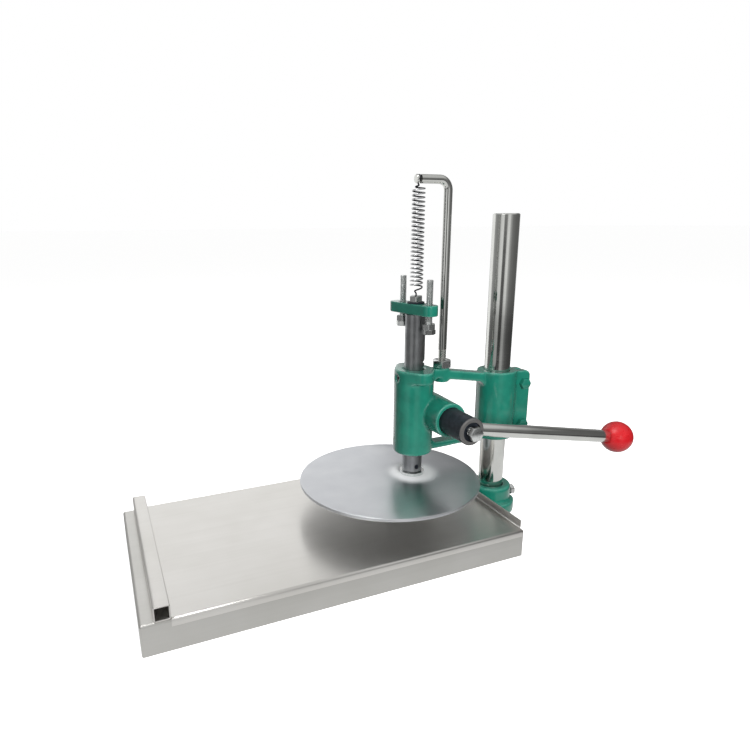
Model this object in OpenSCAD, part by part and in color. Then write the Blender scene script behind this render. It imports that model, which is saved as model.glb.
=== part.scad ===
// Hand lever dough press. A lever turns a pinion, the pinion drives a rack on
// a round ram, and the ram lowers a round plate onto a board that slides out.
// Millimetres, Z up. The origin is on the floor under the ram axis, +X runs
// from the ram to the column and -Y is the operator's side.

/* [Press plate] */
// Diameter of the round press plate
plate_d = 220; // [180:1:235]
// Thickness of the press plate
plate_t = 4; // [3:0.5:8]
// Distance of the plate's centre from the ram axis, away from the column
plate_offset = 32; // [26:1:44]
// Clear height between the board and the raised plate
daylight = 34.5; // [34:0.5:60]
// Thickness of the hub flange under the ram
hub_flange_t = 3.5; // [2:0.5:6]
// Length of the hub spigot inside the ram
hub_spigot_l = 17; // [14:1:22]

/* [Rack and pinion] */
// Diameter of the ram
ram_d = 24; // [22:1:30]
// Tooth module of the rack and the pinion
gear_module = 2.25; // [2:0.05:2.5]
// Number of teeth on the pinion
pinion_teeth = 12; // [12:1:15]
// Pressure angle of the teeth
pressure_angle = 25; // [25:1:27]
// Play between the teeth along the pitch line
backlash = 0.3; // [0.2:0.05:0.5]
// Depth of the flat on the ram that the rack is cut in
rack_flat = 1; // [0.5:0.1:2]
// Length of the pinion's toothed stretch
pinion_w = 24; // [22:1:28]
// Travel of the ram
stroke = 32; // [20:1:33]

/* [Column] */
// Diameter of the column
column_d = 32; // [26:1:38]
// Height of the column's top above the floor
column_h = 386; // [340:1:450]
// Distance from the ram axis to the column axis
reach = 122; // [116:1:150]

/* [Bed and board] */
// Length of the bed
bed_l = 422; // [380:1:500]
// Width of the bed over its skirts
bed_w = 235.8; // [220:0.1:280]
// Height of the bed's top above the floor
bed_h = 32.6; // [28:0.1:45]
// Thickness of the bed sheet
bed_t = 1.5; // [1:0.1:2]
// Thickness of the board sheet
board_t = 1.2; // [0.8:0.1:2]
// Height of the board's folded edges
board_flange = 8; // [6:0.5:14]
// Height of the board's end lip above its top
lip_h = 9; // [6:0.5:14]
// Side of the square handle tube
handle_size = 15; // [12:1:20]
// Wall of the square handle tube
handle_wall = 1.2; // [1:0.1:2]
// Bare strip of bed to the left of the board
handle_inset = 12.8; // [8:0.1:20]

/* [Base casting] */
// Thickness of the foot
foot_t = 16; // [10:1:18]
// Length of the ribbed support under the plate
support_l = 177; // [150:1:200]
// Width of the ribbed support under the plate
support_w = 160; // [140:1:180]
// Thickness of the support ribs
rib_t = 8; // [5:1:10]
// Wall of the column socket
socket_wall = 10.5; // [8:0.5:14]
// Height of the column socket above the floor
socket_h = 37; // [34:1:60]
// Distance between the two bench bolt holes
bench_spacing = 116; // [100:1:140]
// Diameter of the bench bolt holes
bench_hole_d = 9; // [6:0.5:12]
// Height of the column set bolt above the floor
set_bolt_z = 19; // [17:1:25]

/* [Head casting] */
// Gap between the raised plate and the head
head_rise = 29.5; // [24:0.5:50]
// Height of the ram barrel
head_h = 105; // [95:1:130]
// Wall of the ram barrel
barrel_wall = 12; // [10:0.5:16]
// Height of the pinion axis above the head's lower face
pinion_rise = 50.5; // [45:0.5:56]
// Wall of the pinion boss
boss_wall = 5; // [4:0.5:8]
// Distance of the pinion boss's front rim from the ram axis
boss_front = 50; // [40:1:60]
// Growth of the boss's radius from its rims to the middle of the casting
boss_draft = 1.3; // [0:0.1:1.3]
// Reach of the stop lugs from the ram axis
lug_reach = 33; // [31:1:40]
// Thickness of the stop lugs
lug_t = 14; // [10:1:20]
// Thickness of the two arms across the head
arm_w = 18; // [14:1:24]
// Wall of the column clamp
clamp_wall = 9; // [7:0.5:12]
// Height of the column clamp
clamp_h = 88.5; // [80:0.5:100]
// Width of the split in the clamp
split_w = 3; // [2:0.5:5]
// Thickness of each clamp ear
ear_t = 10.5; // [8:0.5:14]

/* [Lever] */
// Distance of the hub's front face from the boss rim
hub_stand = 42; // [36:1:60]
// Diameter of the lever rod
rod_d = 16; // [10:1:18]
// Distance of the knob's centre from the pinion axis
lever_l = 239; // [180:1:300]
// Angle of the resting lever below the horizontal
lever_drop = 11; // [0:1:20]
// Diameter of the ball knob
knob_d = 40; // [34:1:50]

/* [Stops] */
// Height of the crossbar above the raised ram's barrel
crossbar_lift = 65.5; // [63:0.5:80]
// Thickness of the crossbar
crossbar_t = 12.5; // [10:0.5:18]
// Width of the crossbar
crossbar_w = 20; // [18:1:26]
// Angle of the crossbar from square across the arms
crossbar_turn = 13; // [0:1:20]
// Diameter of the stop bolts
stop_d = 8; // [6:1:10]
// Length of the stop bolts under the head
stop_l = 56; // [50:1:70]

/* [Return spring] */
// Diameter of the spring wire
wire_d = 1.8; // [1.2:0.1:2.2]
// Outside diameter of the spring
coil_d = 15.5; // [12:0.5:18]
// Number of spring turns
coil_turns = 23; // [16:1:26]
// Diameter of the bent rod that the spring hangs from
post_d = 10; // [8:0.5:12]
// Height of the bent rod's arm above the barrel
post_h = 216; // [190:1:260]
// Bend radius of the rod at its middle line
post_bend = 12; // [10:1:20]

/* [Hidden] */
$fn = 64;

// Clearances
fit_run = 0.05;
fit_bolt = 0.3;
slide_gap = 0.2;
flange_gap = 0.3;
plate_side_gap = 2.5;
tip_gap = 0.3;

// Levels from the floor up, ram raised
board_under = bed_h + slide_gap;
board_top = board_under + board_t;
plate_z = board_top + daylight;
plate_top = plate_z + plate_t;
ram_z = plate_top + hub_flange_t;
head_z = plate_top + head_rise;
head_top = head_z + head_h;
pinion_z = head_z + pinion_rise;
crossbar_z = head_top + crossbar_lift;
crossbar_top = crossbar_z + crossbar_t;

// Rack and pinion
ram_r = ram_d / 2;
tooth_pitch = PI * gear_module;
pitch_r = gear_module * pinion_teeth / 2;
shaft_r = pitch_r + gear_module;
tip_relief = 0.1;
tip_r = shaft_r - tip_relief;
root_depth = 1.25 * gear_module;
root_r = pitch_r - root_depth;
base_r = pitch_r * cos(pressure_angle);
rack_pitch_x = ram_r - rack_flat - gear_module;
pinion_x = rack_pitch_x + pitch_r;
rack_first = -2;
rack_last = ceil(stroke / tooth_pitch) + 4;
journal_step = 6;
journal_r = shaft_r - journal_step;

// Bed and board
bend_r = 3;
board_bend = 2.6;
handle_fillet = 0.3;
handle_corner = handle_wall + handle_fillet;
lip_inset = 4;
bed_right = plate_d / 2 - plate_offset + plate_side_gap + board_t;
bed_left = bed_right - bed_l;
board_left = bed_left + handle_inset;
board_half = bed_w / 2 + flange_gap + board_t;
screw_r = 3;
screw_head_r = 5.5;
screw_head_t = 2.5;
screw_l = 14;
screw_inset = 11;
screw_post_wall = 6;
screw_post_r = screw_r + screw_post_wall;
screw_socket_t = 1;

// Base casting
column_r = column_d / 2;
socket_r = column_r + socket_wall;
foot_step = 5.5;
socket_foot_r = socket_r + foot_step;
column_z = 6;
support_inset = 9;
support_corner = 12;
pocket_corner = 4;
support_right = bed_right - support_inset;
support_left = support_right - support_l;
support_top = bed_h - bed_t;
bench_ear_wall = 9.5;
bench_setback = 8;
ear_r = bench_hole_d / 2 + bench_ear_wall;
bench_x = reach - column_r - bench_setback;
set_bolt_d = 8;
set_bolt_af = 13;
set_bolt_head = 6.5;
set_bolt_stand = 5;
foot_flat_gap = 2;
foot_flat = socket_r + set_bolt_stand - foot_flat_gap;

// Head casting
barrel_r = ram_r + barrel_wall;
boss_r = shaft_r + boss_wall;
boss_rear_rise = 4;
boss_rear = barrel_r + boss_rear_rise;
lug_r = 12;
clamp_r = column_r + clamp_wall;
clamp_rise = 3;
clamp_z = head_z + clamp_rise;
clamp_top = clamp_z + clamp_h;
clamp_bolt_d = 8;
clamp_bolt_af = 13;
clamp_bolt_head = 5.3;
clamp_nut_t = 6.5;
clamp_bolt_out = 19;
ear_edge = 10;
ear_corner = 8;
ear_drop = 3;
clamp_bolt_x = reach + column_r + clamp_bolt_out;
ear_end = clamp_bolt_x + ear_edge;
ear_h = clamp_h - ear_drop;
ear_face = split_w / 2 + ear_t;
low_bolt_rise = 13.5;
high_bolt_drop = 20;
clamp_bolt_zs = [clamp_z + low_bolt_rise, clamp_top - high_bolt_drop];
arm_t = 11.5;
arm_head_drop = 2;
arm_clamp_drop = 1;
arm_head_top = head_top - arm_head_drop;
arm_clamp_top = clamp_top - arm_clamp_drop;
lower_arm_t = 8.5;
lower_arm_top = head_z + lower_arm_t;
window_corner = 6;
window_bite = 0.25;
post_r = post_d / 2;
post_offset = 14.5;
post_pad_r = 9.5;
post_pad_drop = 2.5;
post_foot_l = 12;
post_x = barrel_r + post_offset;
post_pad_top = head_top - post_pad_drop;
post_foot_z = post_pad_top - post_foot_l;
post_nut_af = 21;
post_nut_t = 9.5;
guide_d = 8;
guide_drop = 10;
guide_inset = 3;
guide_z = head_top - guide_drop;

// Ram, hub and crossbar
hub_flange_step = 3;
spigot_wall = 5;
hub_flange_r = ram_r + hub_flange_step;
spigot_r = ram_r - spigot_wall;
grub_d = 6;
grub_rise = 8;
grub_z = ram_z + grub_rise;
stop_offset = 10.5;
stop_pos_r = ram_r + stop_offset;
crossbar_tail = 8;
stop_af = 14;
stop_head = 6;
stop_nut_t = 6.5;
stop_room = 12.5;
stop_front_z = head_top + stroke + stop_room + stop_head;
stop_rear_gap = 4;
stop_rear_z = crossbar_z - stop_nut_t - stop_rear_gap;
front_angle = crossbar_turn - 90;
anchor_d = 10;
anchor_af = 14;
anchor_head = 7;
anchor_grip = 18;
anchor_washer_r = 10;
anchor_washer_t = 2;
anchor_seat = crossbar_top + anchor_washer_t;
anchor_top = anchor_seat + anchor_head;

// Lever
hub_face = boss_front + hub_stand;
rod_r = rod_d / 2;
rod_inset = 14;
rod_y = hub_face - rod_inset;
rod_back = 5;
rod_in = shaft_r - rod_back;
lock_d = 10;
lock_af = 15;
lock_head = 6.5;
lock_stand = 3;
lock_tip = 5;
face_rim = 4.5;
face_recess_r = shaft_r - face_rim;
face_recess = 3;
edge = 1.5;
knob_r = knob_d / 2;
knob_cut = 2;
knob_step = 2;
knob_flat = knob_r - knob_cut;
knob_spigot_r = rod_r - knob_step;
knob_spigot_l = knob_r + knob_cut;
ring_t = 1.5;
ring_depth = 1;
washer_t = 1.5;
rear_play = 0.2;
washer_y = boss_rear + rear_play;
ring_y = washer_y + washer_t + rear_play;
shaft_tail = 2;
washer_step = 5;
ring_step = 2.5;
shaft_rear = ring_y + ring_t + shaft_tail;

// Return spring
hook_z = head_top + post_h;
wire_r = wire_d / 2;
coil_r = (coil_d - wire_d) / 2;
groove_depth = 2;
groove_play = 0.8;
wire_gap = 0.2;
groove_r = post_r - groove_depth;
groove_w = wire_d + groove_play;
post_end = 4;
wire_hole_r = wire_r + wire_gap;
wire_hole_l = 6;
hook_r = groove_r + wire_r + wire_gap;
hook_start = 40;
hook_stop = 300;
hook_steps = 12;
tail_room = 10.5;
head_room = 10;
rings_per_turn = 8;
lead_rings = 6;
tube_sides = 6;

enamel = "#2f7d6b";
stainless = "#cfcfcd";
chrome = "#dcdcde";
steel = "#a9abad";
black_oxide = "#2b2f35";
red = "#c4262e";

// Shared shapes

module rounded_rect(size, r) {
    translate([r, 0]) square([size[0] - 2 * r, size[1]]);
    translate([0, r]) square([size[0], size[1] - 2 * r]);
    for (x = [r, size[0] - r], y = [r, size[1] - r]) translate([x, y]) circle(r);
}

// Slot outline along Y with round ends centred at plus and minus half_span
module slot_outline(half_span, r) {
    translate([-r, -half_span]) square([2 * r, 2 * half_span]);
    for (s = [-1, 1]) translate([0, s * half_span]) circle(r);
}

// Section of a sheet folded down along both long edges, top at y = 0
module channel_profile(half_w, depth, t, r) {
    difference() {
        translate([-half_w, -depth - r]) rounded_rect([2 * half_w, depth + r], r);
        translate([t - half_w, -depth - 2 * r])
            rounded_rect([2 * (half_w - t), depth + 2 * r - t], r - t);
        translate([-2 * half_w, -depth - 2 * r]) square([4 * half_w, 2 * r]);
    }
}

// Section of a sheet folded down at one end, top at y = 0 and outside of the fold at x = 0
module fold_profile(flat, depth, t, r) {
    difference() {
        translate([0, -depth - r]) rounded_rect([flat + r, depth + r], r);
        translate([t, -depth - 2 * r]) rounded_rect([flat + 2 * r, depth + 2 * r - t], r - t);
        translate([-r, -depth - 2 * r]) square([flat + 3 * r, 2 * r]);
        translate([flat, -depth - r]) square([2 * r, depth + 2 * r]);
    }
}

// Section across Y and Z, swept along X from x0 to x1
module along_x(x0, x1) {
    translate([x0, 0, 0]) rotate([90, 0, 90]) linear_extrude(x1 - x0) children();
}

// Outline in X and Z, swept along Y and centred on it
module across_y(width) {
    rotate([90, 0, 0]) linear_extrude(width, center = true) children();
}

module hex_prism(af, h) {
    cylinder(d = af / cos(30), h = h, $fn = 6);
}

// Bolt with its head below z = 0 and its shank above
module hex_bolt(d, l, af, head) {
    translate([0, 0, -head]) hex_prism(af, head);
    cylinder(d = d, h = l);
}

module hex_nut(d, af, t) {
    difference() {
        hex_prism(af, t);
        translate([0, 0, -1]) cylinder(r = d / 2 + fit_run, h = t + 2);
    }
}

// Socket set screw, point at z = 0
module set_screw(d, l) {
    difference() {
        cylinder(d = d, h = l);
        translate([0, 0, l / 2]) hex_prism(d / 2, l);
    }
}

module ring(r_in, r_out, t) {
    difference() {
        cylinder(r = r_out, h = t);
        translate([0, 0, -1]) cylinder(r = r_in, h = t + 2);
    }
}

// Frames that pieces share

module at_column(z) {
    translate([reach, 0, z]) children();
}

// Z runs along the pinion axis, away from the operator
module at_pinion(y) {
    translate([pinion_x, y, pinion_z]) rotate([-90, 0, 0]) children();
}

// Z runs along the lever rod, from the pinion axis to the knob
module at_lever() {
    translate([pinion_x, -rod_y, pinion_z]) rotate([0, 90 + lever_drop, 0]) children();
}

module at_stop(angle, z) {
    translate([stop_pos_r * cos(angle), stop_pos_r * sin(angle), z]) children();
}

module at_clamp_bolts(y) {
    for (z = clamp_bolt_zs) translate([clamp_bolt_x, y, z]) rotate([-90, 0, 0]) children();
}

module at_bed_screws() {
    for (x = [support_left + screw_inset, support_right - screw_inset])
        for (s = [-1, 1]) translate([x, s * (support_w / 2 - screw_inset), bed_h]) children();
}

// Countersunk screw below z = 0, grown by gap for its hole
module bed_screw(gap) {
    translate([0, 0, -screw_head_t])
        cylinder(r1 = screw_r + gap, r2 = screw_head_r + gap, h = screw_head_t);
    translate([0, 0, -screw_l - gap]) cylinder(r = screw_r + gap, h = screw_l);
}

// Base

module foot_outline() {
    translate([support_left, -support_w / 2]) rounded_rect([support_l, support_w], support_corner);
    translate([support_right - support_corner, -socket_foot_r])
        square([reach - support_right + support_corner, 2 * socket_foot_r]);
    difference() {
        translate([reach, 0]) circle(socket_foot_r);
        translate([reach + foot_flat, -socket_foot_r]) square(2 * socket_foot_r);
    }
    translate([bench_x, 0]) slot_outline(bench_spacing / 2, ear_r);
}

// Grid of ribs under the bed, three pockets each way, with a post at each screw
module support_ribs() {
    pocket = [(support_l - 4 * rib_t) / 3, (support_w - 4 * rib_t) / 3];
    difference() {
        translate([support_left, -support_w / 2])
            rounded_rect([support_l, support_w], support_corner);
        for (i = [0:2], j = [0:2])
            translate([
                support_left + rib_t + i * (pocket[0] + rib_t),
                -support_w / 2 + rib_t + j * (pocket[1] + rib_t)
            ]) rounded_rect(pocket, pocket_corner);
    }
    for (x = [support_left + screw_inset, support_right - screw_inset], s = [-1, 1])
        translate([x, s * (support_w / 2 - screw_inset)]) circle(screw_post_r);
}

module base_casting() {
    color(enamel) difference() {
        union() {
            linear_extrude(foot_t) foot_outline();
            linear_extrude(support_top) support_ribs();
            linear_extrude(support_top) translate([support_right - rib_t, -rib_t])
                square([reach - support_right, 2 * rib_t]);
            at_column(0) rotate_extrude() polygon([
                [0, 0], [socket_r, 0], [socket_r, socket_h - edge], [socket_r - edge, socket_h],
                [0, socket_h]
            ]);
        }
        at_column(column_z) cylinder(r = column_r + fit_run, h = socket_h);
        at_column(set_bolt_z) rotate([0, 90, 0])
            cylinder(d = set_bolt_d + 2 * fit_run, h = foot_flat + 1);
        for (s = [-1, 1]) translate([bench_x, s * bench_spacing / 2, -1])
            cylinder(d = bench_hole_d, h = foot_t + 2);
        at_bed_screws() bed_screw(fit_run);
    }
}

module column() {
    color(chrome) at_column(column_z) rotate_extrude() polygon([
        [0, 0], [column_r, 0], [column_r, column_h - column_z - edge],
        [column_r - edge, column_h - column_z], [0, column_h - column_z]
    ]);
}

module column_set_bolt() {
    seat = socket_r + set_bolt_stand;
    color(steel) translate([reach + seat, 0, set_bolt_z]) rotate([0, -90, 0])
        hex_bolt(set_bolt_d, seat - column_r - fit_run, set_bolt_af, set_bolt_head);
}

module bed() {
    half_w = bed_w / 2;
    color(stainless) difference() {
        union() {
            along_x(bed_left + bend_r, bed_right) translate([0, bed_h])
                channel_profile(half_w, bed_h, bed_t, bend_r);
            across_y(2 * (half_w - bend_r)) translate([bed_left, bed_h])
                fold_profile(2 * bend_r, bed_h, bed_t, bend_r);
        }
        at_bed_screws() bed_screw(fit_run);
    }
}

module bed_screws() {
    color(steel) at_bed_screws() difference() {
        bed_screw(0);
        translate([0, 0, -screw_socket_t]) hex_prism(screw_r, 2 * screw_socket_t);
    }
}

// Board

module sliding_board() {
    flat_half = board_half - board_bend;
    color(stainless) {
        translate([board_left, -flat_half, board_under])
            cube([bed_right - board_bend - board_left, 2 * flat_half, board_t]);
        along_x(board_left + handle_size, bed_right - board_bend) translate([0, board_top])
            channel_profile(board_half, board_flange, board_t, board_bend);
        across_y(2 * (flat_half - lip_inset))
            translate([bed_right, board_under]) mirror([1, 0]) mirror([0, 1])
            fold_profile(2 * board_bend, board_t + lip_h, board_t, board_bend);
    }
}

module board_handle() {
    inner = handle_size - 2 * handle_wall;
    color(stainless) translate([board_left, 0, board_top]) across_y(2 * board_half)
        difference() {
            rounded_rect([handle_size, handle_size], handle_corner);
            translate([handle_wall, handle_wall]) square(inner);
        }
}

// Head

// Plate in X and Z that ties the barrel to the clamp: two arms round an open window
module arm_outline() {
    slope = (arm_clamp_top - arm_head_top) / (reach - clamp_r - barrel_r);
    function top_z(x) = arm_head_top + slope * (x - barrel_r);
    root = barrel_r - barrel_wall / 2;
    left = sqrt(barrel_r * barrel_r - arm_w * arm_w / 4) - window_bite;
    right = reach - sqrt(clamp_r * clamp_r - arm_w * arm_w / 4) + window_bite;
    c = window_corner;
    difference() {
        polygon([[root, head_z], [root, top_z(root)], [reach, top_z(reach)], [reach, clamp_z]]);
        polygon([
            [left, lower_arm_top + c], [left, top_z(left) - arm_t - c],
            [left + c, top_z(left + c) - arm_t], [right - c, top_z(right - c) - arm_t],
            [right, top_z(right) - arm_t - c], [right, lower_arm_top + c],
            [right - c, lower_arm_top], [left + c, lower_arm_top]
        ]);
    }
}

// Clamp ears in X and Z, with two rounded outer corners
module ear_outline() {
    translate([reach, clamp_z]) square([ear_end - ear_corner - reach, ear_h]);
    translate([reach, clamp_z + ear_corner]) square([ear_end - reach, ear_h - 2 * ear_corner]);
    for (z = [ear_corner, ear_h - ear_corner])
        translate([ear_end - ear_corner, clamp_z + z]) circle(ear_corner);
}

// Two stop lugs, each run out to the barrel along the tangents of both circles
module lug_outline() {
    span = lug_reach - lug_r;
    slant = asin(min(0.95, (barrel_r - lug_r) / span));
    for (s = [-1, 1]) {
        translate([0, s * span]) circle(lug_r);
        polygon([
            [barrel_r * cos(slant), s * barrel_r * sin(slant)],
            [lug_r * cos(slant), s * (span + lug_r * sin(slant))],
            [-lug_r * cos(slant), s * (span + lug_r * sin(slant))],
            [-barrel_r * cos(slant), s * barrel_r * sin(slant)]
        ]);
    }
}

module head_solid() {
    translate([0, 0, head_z]) rotate_extrude() polygon([
        [0, 0], [barrel_r - edge, 0], [barrel_r, edge], [barrel_r, head_h - edge],
        [barrel_r - edge, head_h], [0, head_h]
    ]);
    translate([0, 0, head_top - lug_t]) linear_extrude(lug_t) lug_outline();
    at_pinion(-boss_front) cylinder(r1 = boss_r, r2 = boss_r + boss_draft, h = boss_front);
    at_pinion(0) cylinder(r1 = boss_r + boss_draft, r2 = boss_r, h = boss_rear);
    across_y(arm_w) arm_outline();
    translate([post_x, 0, arm_clamp_top - arm_t / 2])
        cylinder(r = post_pad_r, h = post_pad_top - arm_clamp_top + arm_t / 2);
    at_column(clamp_z) cylinder(r = clamp_r, h = clamp_h);
    across_y(2 * ear_face) ear_outline();
}

module head_casting() {
    color(enamel) difference() {
        head_solid();
        translate([0, 0, head_z - 1]) cylinder(r = ram_r + fit_run, h = head_h + 2);
        at_pinion(-boss_front - 1)
            cylinder(r = shaft_r + fit_run, h = boss_front + 1 + pinion_w / 2 + fit_run);
        at_pinion(0) cylinder(r = journal_r + fit_run, h = boss_rear + 1);
        at_column(clamp_z - 1) cylinder(r = column_r + fit_run, h = clamp_h + 2);
        translate([reach, -split_w / 2, clamp_z - 1])
            cube([ear_end - reach + 1, split_w, clamp_h + 2]);
        at_clamp_bolts(-ear_face - 1)
            cylinder(d = clamp_bolt_d + 2 * fit_bolt, h = 2 * ear_face + 2);
        translate([0, 0, guide_z]) rotate([0, -90, 0])
            cylinder(d = guide_d + 2 * fit_run, h = barrel_r + 1);
        translate([post_x, 0, post_foot_z]) cylinder(r = post_r + fit_run, h = post_h);
    }
}

module clamp_bolts() {
    color(enamel) at_clamp_bolts(-ear_face)
        hex_bolt(clamp_bolt_d, 2 * ear_face + clamp_nut_t + 3, clamp_bolt_af, clamp_bolt_head);
}

module clamp_nuts() {
    color(enamel) at_clamp_bolts(ear_face) hex_nut(clamp_bolt_d, clamp_bolt_af, clamp_nut_t);
}

module guide_screw() {
    color(steel) translate([-(ram_r + tip_gap), 0, guide_z]) rotate([0, -90, 0])
        set_screw(guide_d, barrel_wall - guide_inset);
}

module spring_post() {
    color(chrome) difference() {
        union() {
            translate([post_x, 0, post_foot_z])
                cylinder(r = post_r, h = hook_z - post_bend - post_foot_z);
            translate([post_x - post_bend, 0, hook_z - post_bend]) rotate([90, 0, 0])
                rotate_extrude(angle = 90) translate([post_bend, 0]) circle(post_r);
            translate([-post_end, 0, hook_z]) rotate([0, 90, 0])
                cylinder(r = post_r, h = post_x - post_bend + post_end);
        }
        translate([-groove_w / 2, 0, hook_z]) rotate([0, 90, 0])
            ring(groove_r, post_r + 1, groove_w);
    }
}

module spring_post_nut() {
    color(steel) translate([post_x, 0, post_pad_top]) hex_nut(post_d, post_nut_af, post_nut_t);
}

// Middle line of the spring wire: tail in the anchor, coil, hook round the post's groove
function ease(t) = t * t * (3 - 2 * t);
function polar(r, a, z) = [r * cos(a), r * sin(a), z];
coil_z0 = anchor_top + tail_room;
coil_z1 = hook_z - head_room;
coil_rings = coil_turns * rings_per_turn;
ring_turn = 360 / rings_per_turn;
lead_end = coil_z1 + 3.5;
spring_path = concat(
    [[0, 0, anchor_top - wire_hole_l + wire_r], [0, 0, anchor_top], [0, 0, anchor_top + wire_d]],
    [for (i = [1:lead_rings - 1]) let (t = i / lead_rings)
        polar(coil_r * ease(t), (i - lead_rings) * ring_turn,
            anchor_top + wire_d + (tail_room - wire_d) * t)],
    [for (i = [0:coil_rings])
        polar(coil_r, i * ring_turn, coil_z0 + (coil_z1 - coil_z0) * i / coil_rings)],
    [for (i = [1:lead_rings]) let (t = i / lead_rings)
        polar(coil_r * (1 - ease(t)), (coil_rings + i) * ring_turn, coil_z1 + (lead_end - coil_z1) * t)],
    [for (i = [0:hook_steps]) let (a = hook_start + (hook_stop - hook_start) * i / hook_steps)
        [0, hook_r * sin(a), hook_z - hook_r * cos(a)]],
    [[0, hook_r * sin(hook_stop) + wire_d * cos(hook_stop),
        hook_z - hook_r * cos(hook_stop) + wire_d * sin(hook_stop)]]
);

// Least gap of the wire to itself, between points more than one curl's quarter apart
spring_gap = min([
    for (i = [0:len(spring_path) - 5], j = [i + 4:len(spring_path) - 1])
        norm(spring_path[i] - spring_path[j])
]) - wire_d;
echo(str("return_spring least gap to itself, mm: ", spring_gap));

// Tube of given radius and sides along a path, with a frame that turns least
function unit(v) = v / norm(v);
function tangent(p, i) = unit(p[min(i + 1, len(p) - 1)] - p[max(i - 1, 0)]);
function square_to(v, t) = unit(v - (v * t) * t);
module tube(path, r, sides) {
    n = len(path);
    side = [for (i = 0, u = square_to([1, 0, 0], tangent(path, 0)); i < n;
        i = i + 1, u = square_to(u, tangent(path, min(i, n - 1)))) u];
    points = [for (i = [0:n - 1]) let (u = side[i], v = cross(tangent(path, i), u))
        for (k = [0:sides - 1]) path[i] + r * (cos(360 * k / sides) * u + sin(360 * k / sides) * v)];
    wall = [for (i = [0:n - 2], k = [0:sides - 1])
        let (a = i * sides + k, b = i * sides + (k + 1) % sides)
        each [[a, a + sides, b], [b, a + sides, b + sides]]];
    last = (n - 1) * sides;
    caps = [for (k = [1:sides - 2]) each [[0, k, k + 1], [last, last + k + 1, last + k]]];
    polyhedron(points, concat(wall, caps));
}

module return_spring() {
    color(steel) tube(spring_path, wire_r, tube_sides);
}

// Ram

// Gap between two rack teeth, in X and Z, centred on z = 0
module rack_gap() {
    half = (tooth_pitch + backlash) / 4;
    lean = tan(pressure_angle);
    over = gear_module + rack_flat + 1;
    polygon([
        [rack_pitch_x - root_depth, -half + root_depth * lean],
        [rack_pitch_x + over, -half - over * lean],
        [rack_pitch_x + over, half + over * lean],
        [rack_pitch_x - root_depth, half - root_depth * lean]
    ]);
}

module ram() {
    color(steel) difference() {
        translate([0, 0, ram_z]) rotate_extrude() polygon([
            [0, 0], [ram_r - edge, 0], [ram_r, edge],
            [ram_r, crossbar_z - ram_z], [0, crossbar_z - ram_z]
        ]);
        translate([ram_r - rack_flat, -ram_r, pinion_z + (rack_first - 1) * tooth_pitch])
            cube([ram_d, ram_d, (rack_last - rack_first + 2) * tooth_pitch]);
        for (k = [rack_first:rack_last]) translate([0, 0, pinion_z + k * tooth_pitch])
            across_y(ram_d + 2) rack_gap();
        translate([0, 0, ram_z - 1]) cylinder(r = spigot_r + fit_run, h = hub_spigot_l + 2);
        translate([0, 0, grub_z]) rotate([90, 0, 0])
            cylinder(d = grub_d + 2 * fit_run, h = ram_r + 1);
        translate([0, 0, crossbar_z - anchor_grip - 1])
            cylinder(d = anchor_d + 2 * fit_run, h = anchor_grip + 2);
    }
}

module press_plate() {
    color(stainless) translate([-plate_offset, 0, plate_z]) rotate_extrude() polygon([
        [0, 0], [plate_d / 2 - 0.5, 0], [plate_d / 2, 0.5], [plate_d / 2, plate_t - 0.5],
        [plate_d / 2 - 0.5, plate_t], [0, plate_t]
    ]);
}

module plate_hub() {
    color(steel) translate([0, 0, plate_top]) {
        cylinder(r = hub_flange_r, h = hub_flange_t);
        cylinder(r = spigot_r, h = hub_flange_t + hub_spigot_l);
    }
}

module hub_set_screw() {
    color(black_oxide) translate([0, -(spigot_r + fit_run), grub_z]) rotate([90, 0, 0])
        set_screw(grub_d, ram_r - spigot_r - edge);
}

module stop_crossbar() {
    color(enamel) difference() {
        translate([0, 0, crossbar_z]) rotate([0, 0, crossbar_turn]) linear_extrude(crossbar_t)
            translate([0, crossbar_tail / 2])
                slot_outline(stop_pos_r + crossbar_tail / 2, crossbar_w / 2);
        translate([0, 0, crossbar_z - 1]) cylinder(d = anchor_d + 2 * fit_bolt, h = crossbar_t + 2);
        for (a = [front_angle, front_angle + 180]) at_stop(a, crossbar_z - 1)
            cylinder(d = stop_d + 2 * fit_run, h = crossbar_t + 2);
    }
}

module spring_anchor() {
    color(steel) difference() {
        union() {
            translate([0, 0, crossbar_z - anchor_grip])
                cylinder(d = anchor_d, h = anchor_seat - crossbar_z + anchor_grip);
            translate([0, 0, anchor_seat]) hex_prism(anchor_af, anchor_head);
        }
        translate([0, 0, anchor_top - wire_hole_l]) cylinder(r = wire_hole_r, h = wire_hole_l + 1);
    }
}

module anchor_washer() {
    color(black_oxide) translate([0, 0, crossbar_top])
        ring(anchor_d / 2 + fit_bolt, anchor_washer_r, anchor_washer_t);
}

// Stops

module stop_bolt_front() {
    color(steel) at_stop(front_angle, stop_front_z) hex_bolt(stop_d, stop_l, stop_af, stop_head);
}

module stop_nut_front() {
    color(steel) at_stop(front_angle, stop_front_z) hex_nut(stop_d, stop_af, stop_nut_t);
}

module stop_bolt_rear() {
    color(steel) at_stop(front_angle + 180, stop_rear_z)
        hex_bolt(stop_d, stop_l - 2, stop_af, stop_head);
}

module stop_nut_rear() {
    color(steel) at_stop(front_angle + 180, stop_rear_z) hex_nut(stop_d, stop_af, stop_nut_t);
}

// Lever

function inv(a) = tan(a) * 180 / PI - a;
flank_half = (tooth_pitch - backlash) / 4 / pitch_r * 180 / PI;
function flank_angle(r) = flank_half + inv(pressure_angle) - (r > base_r ? inv(acos(base_r / r)) : 0);

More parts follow.
